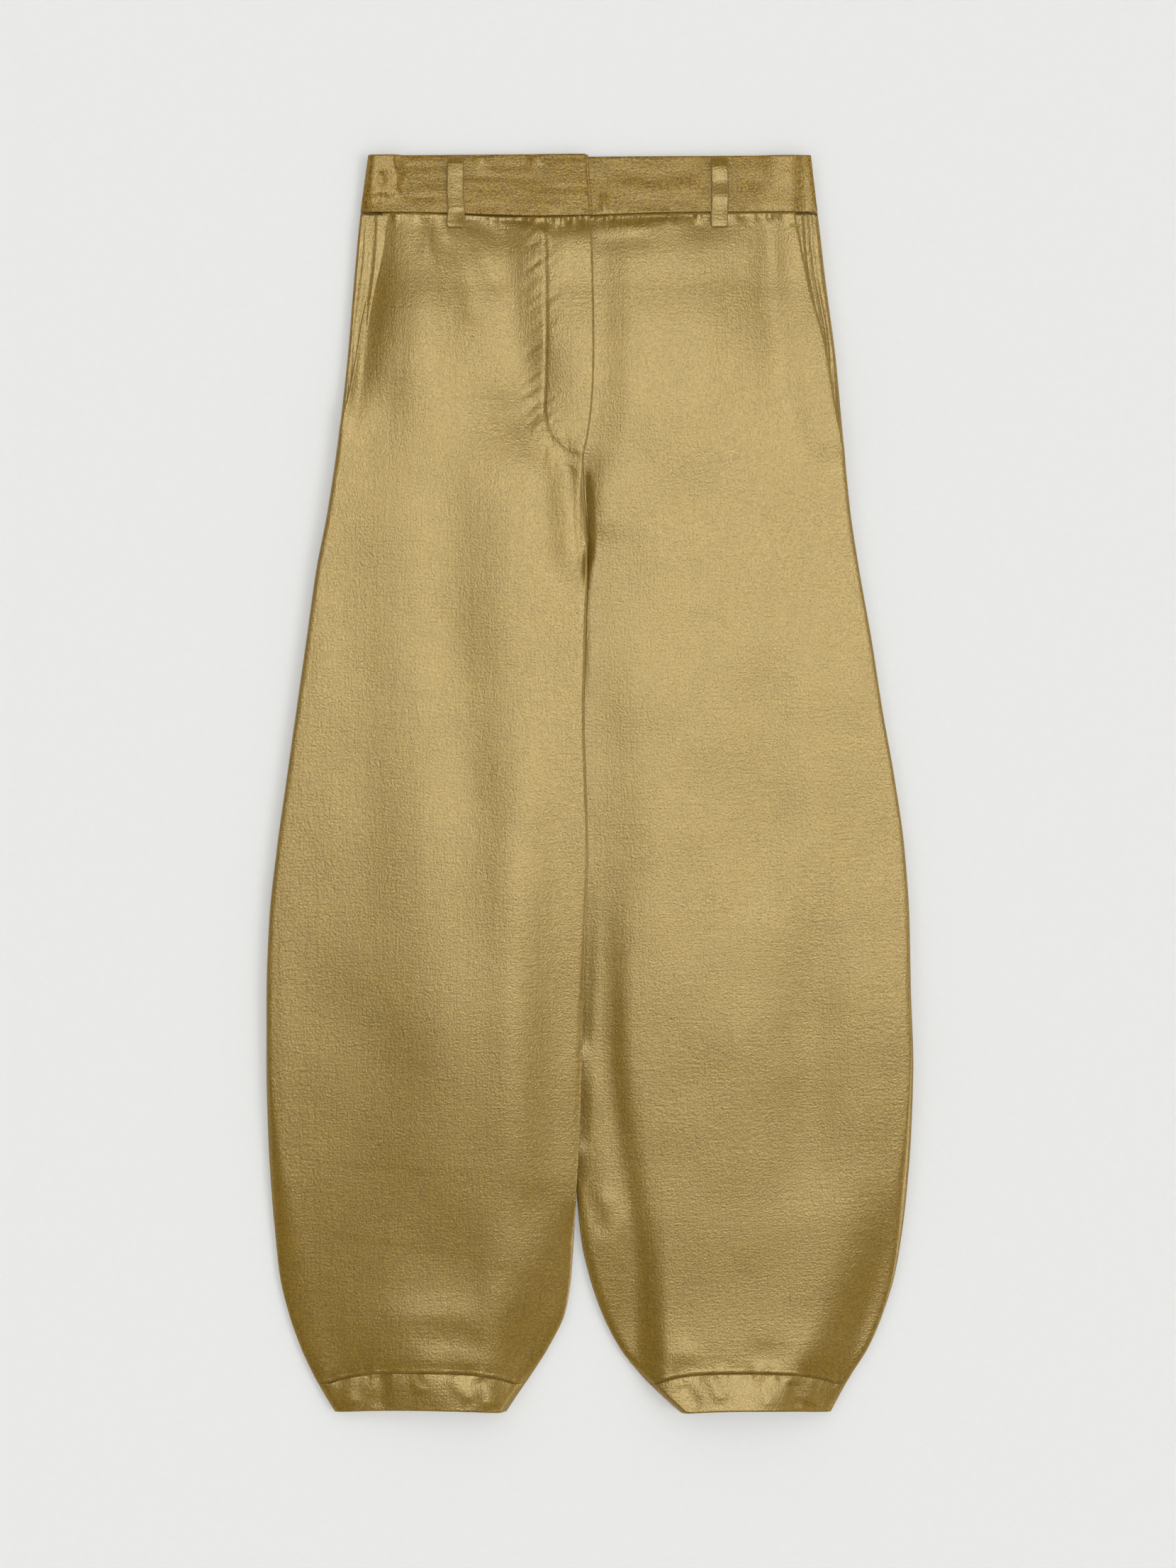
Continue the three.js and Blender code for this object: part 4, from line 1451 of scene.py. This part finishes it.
def on_band(side):
    skin = band_skin(side)
    return lambda x, down: skin(x, down, down - 1.0, waist_seam(x) - down) + 0.1


def waist_line(first, last):
    xs = np.arange(first, last, 2.0)
    return np.stack([xs, waist_seam(xs) - 0.5], axis=1)


sew("waist_stitching_right", waist_line(-184, 0), on_band("right"), 2.6, 1.7, 0.22, seam_thread, 52)
sew("waist_stitching_left", waist_line(3, 184), on_band("left"), 2.6, 1.7, 0.22, seam_thread, 53)


def hem_line(side):
    shares = np.linspace(0.015, 0.985, 120)
    down = hem_seam(shares)
    low, high = in_order(side, leg_side(side, "outer"), leg_side(side, "inner"))
    first = low["x"](down) + low["turn"](down) * 0.6
    last = high["x"](down) - high["turn"](down) * 0.6
    return np.stack([mix(first, last, shares), down + 0.5], axis=1)


def on_hem(side):
    skin = hem_skin(side, "front")
    return lambda x, down: skin(x, down, 0.8, 30.0) + 0.12


for side in ("right", "left"):
    sew(f"hem_stitching_{side}", hem_line(side), on_hem(side), 2.9, 2.0, 0.26, seam_thread, 54)

# %% [markdown]
# The ends of both pocket openings are held by a bar tack: a dense zigzag about 9 mm long.

# %% Bar tacks


def bar_tack(name, centre, long, surface, seed):
    draw = np.random.default_rng(seed)
    solids = []
    for at in np.arange(-long / 2, long / 2, 0.5):
        lean = draw.uniform(-0.35, 0.35)
        tall = draw.uniform(1.0, 1.5)
        x = centre[0] + at
        ends = [(x - lean, centre[1] - tall), (x + lean, centre[1] + tall)]
        solids.append(stitch_tube(*lying_on(surface, ends, 0.12), 0.3))
    return make_piece(name, solids, tack_thread, sharp=80)


bar_tack("bar_tack_right", (-171.2, 61), 9.5, on_front("right"), 61)
bar_tack("bar_tack_left", (171.0, 60.4), 9.0, on_front("left"), 62)

# %% [markdown]
# ## Floor and light
#
# The garment is photographed on a pale seamless board in a bright studio. A large soft lamp hangs almost
# overhead, towards the waistband, which gives the satin its gloss from the hips to the knees and lets it
# fall off towards the hems. A weaker one from the right throws the faint shade on the left. The walls are
# bright and the ceiling isn't, so a slope soon falls into shade. A world that depends on direction does
# this evenly over the floor; area lamps would leave it patchy.

# %% Pale board
board_material, board_tree = new_material("painted_board")
board_place = add_node(board_tree, "ShaderNodeTexCoord").outputs["Object"]
board_tone = two_tones(board_tree, noise(board_tree, board_place, 220.0), "#e4e4e3", "#e7e7e5")
finish_with(board_tree, {"Base Color": board_tone, "Roughness": 0.9, "Specular IOR Level": 0.0})
board_mesh = bpy.data.meshes.new("pale_board")
corners = [(-8, -8, -0.0004), (8, -8, -0.0004), (8, 8, -0.0004), (-8, 8, -0.0004)]
board_mesh.from_pydata(corners, [], [(0, 1, 2, 3)])
board_mesh.materials.append(board_material)
board = bpy.data.objects.new("pale_board", board_mesh)
bpy.context.scene.collection.objects.link(board)
print("board is 16 m square")

# %% Studio light
world = bpy.data.worlds.new("bright_studio")
bpy.context.scene.world = world
world.use_nodes = True
sky = world.node_tree
sky.nodes.clear()
looking = add_node(sky, "ShaderNodeTexCoord").outputs["Generated"]


def dot(vector, axis):
    inputs = {0: vector, 1: axis}
    return add_node(sky, "ShaderNodeVectorMath", inputs, operation="DOT_PRODUCT").outputs["Value"]


def wide_lamp(centre, reach, slant, strength):
    """A long soft box seen overhead, in shares of its distance. slant turns its far end forwards."""
    both = {0: looking, 1: centre}
    away = add_node(sky, "ShaderNodeVectorMath", both, operation="SUBTRACT").outputs["Vector"]
    shares = {
        "X": dot(away, (1 / reach[0], 0.0, 0.0)),
        "Y": dot(away, (slant / reach[1], 1 / reach[1], 0.0)),
        "Z": dot(away, (0.0, 0.0, 1.0)),
    }
    place = add_node(sky, "ShaderNodeCombineXYZ", shares).outputs["Vector"]
    far = add_node(sky, "ShaderNodeVectorMath", {0: place}, operation="LENGTH").outputs["Value"]
    return ranged(sky, far, (1.0, 0.0), (0.0, strength))


def soft_lamp(towards, inner, outer, full, beyond=0.0):
    """Light from one direction: full within the inner angle, and another level beyond the outer one."""
    towards = np.array(towards, float)
    towards = towards / np.linalg.norm(towards)
    angles = [float(np.cos(np.radians(angle))) for angle in (outer, inner)]
    return ranged(sky, dot(looking, tuple(towards)), angles, (beyond, full))


overhead = wide_lamp((0.03, 0.078, 1), (0.34, 0.156), 0.2, 22.0)
from_the_right = soft_lamp((1.0, 0.25, 0.95), 4, 40, 0.5)
walls = soft_lamp((0.0, 0.0, 1.0), 36, 66, 0.12, beyond=1.15)
brightness = added(sky, [overhead, from_the_right, walls])
background = add_node(sky, "ShaderNodeBackground", {"Color": (1, 1, 0.995, 1), "Strength": brightness})
add_node(sky, "ShaderNodeOutputWorld", {"Surface": background.outputs[0]})

side_lamp_data = bpy.data.lights.new("side_softbox", "SUN")
side_lamp_data.energy = 0.62
side_lamp_data.angle = float(np.radians(22))
side_lamp = bpy.data.objects.new("side_softbox", side_lamp_data)
side_lamp.rotation_euler = (float(np.radians(12)), float(np.radians(56)), 0)
bpy.context.scene.collection.objects.link(side_lamp)
bpy.context.scene.view_settings.view_transform = "Standard"
print("lamps: one overhead, one from the right, and the studio's walls")

# %% [markdown]
# ## Counting the cloth
#
# Every piece is a sheet; their number is printed.

# %% Cut sizes
print("declared", len(loops) + len(hems) + 9, "sheets")
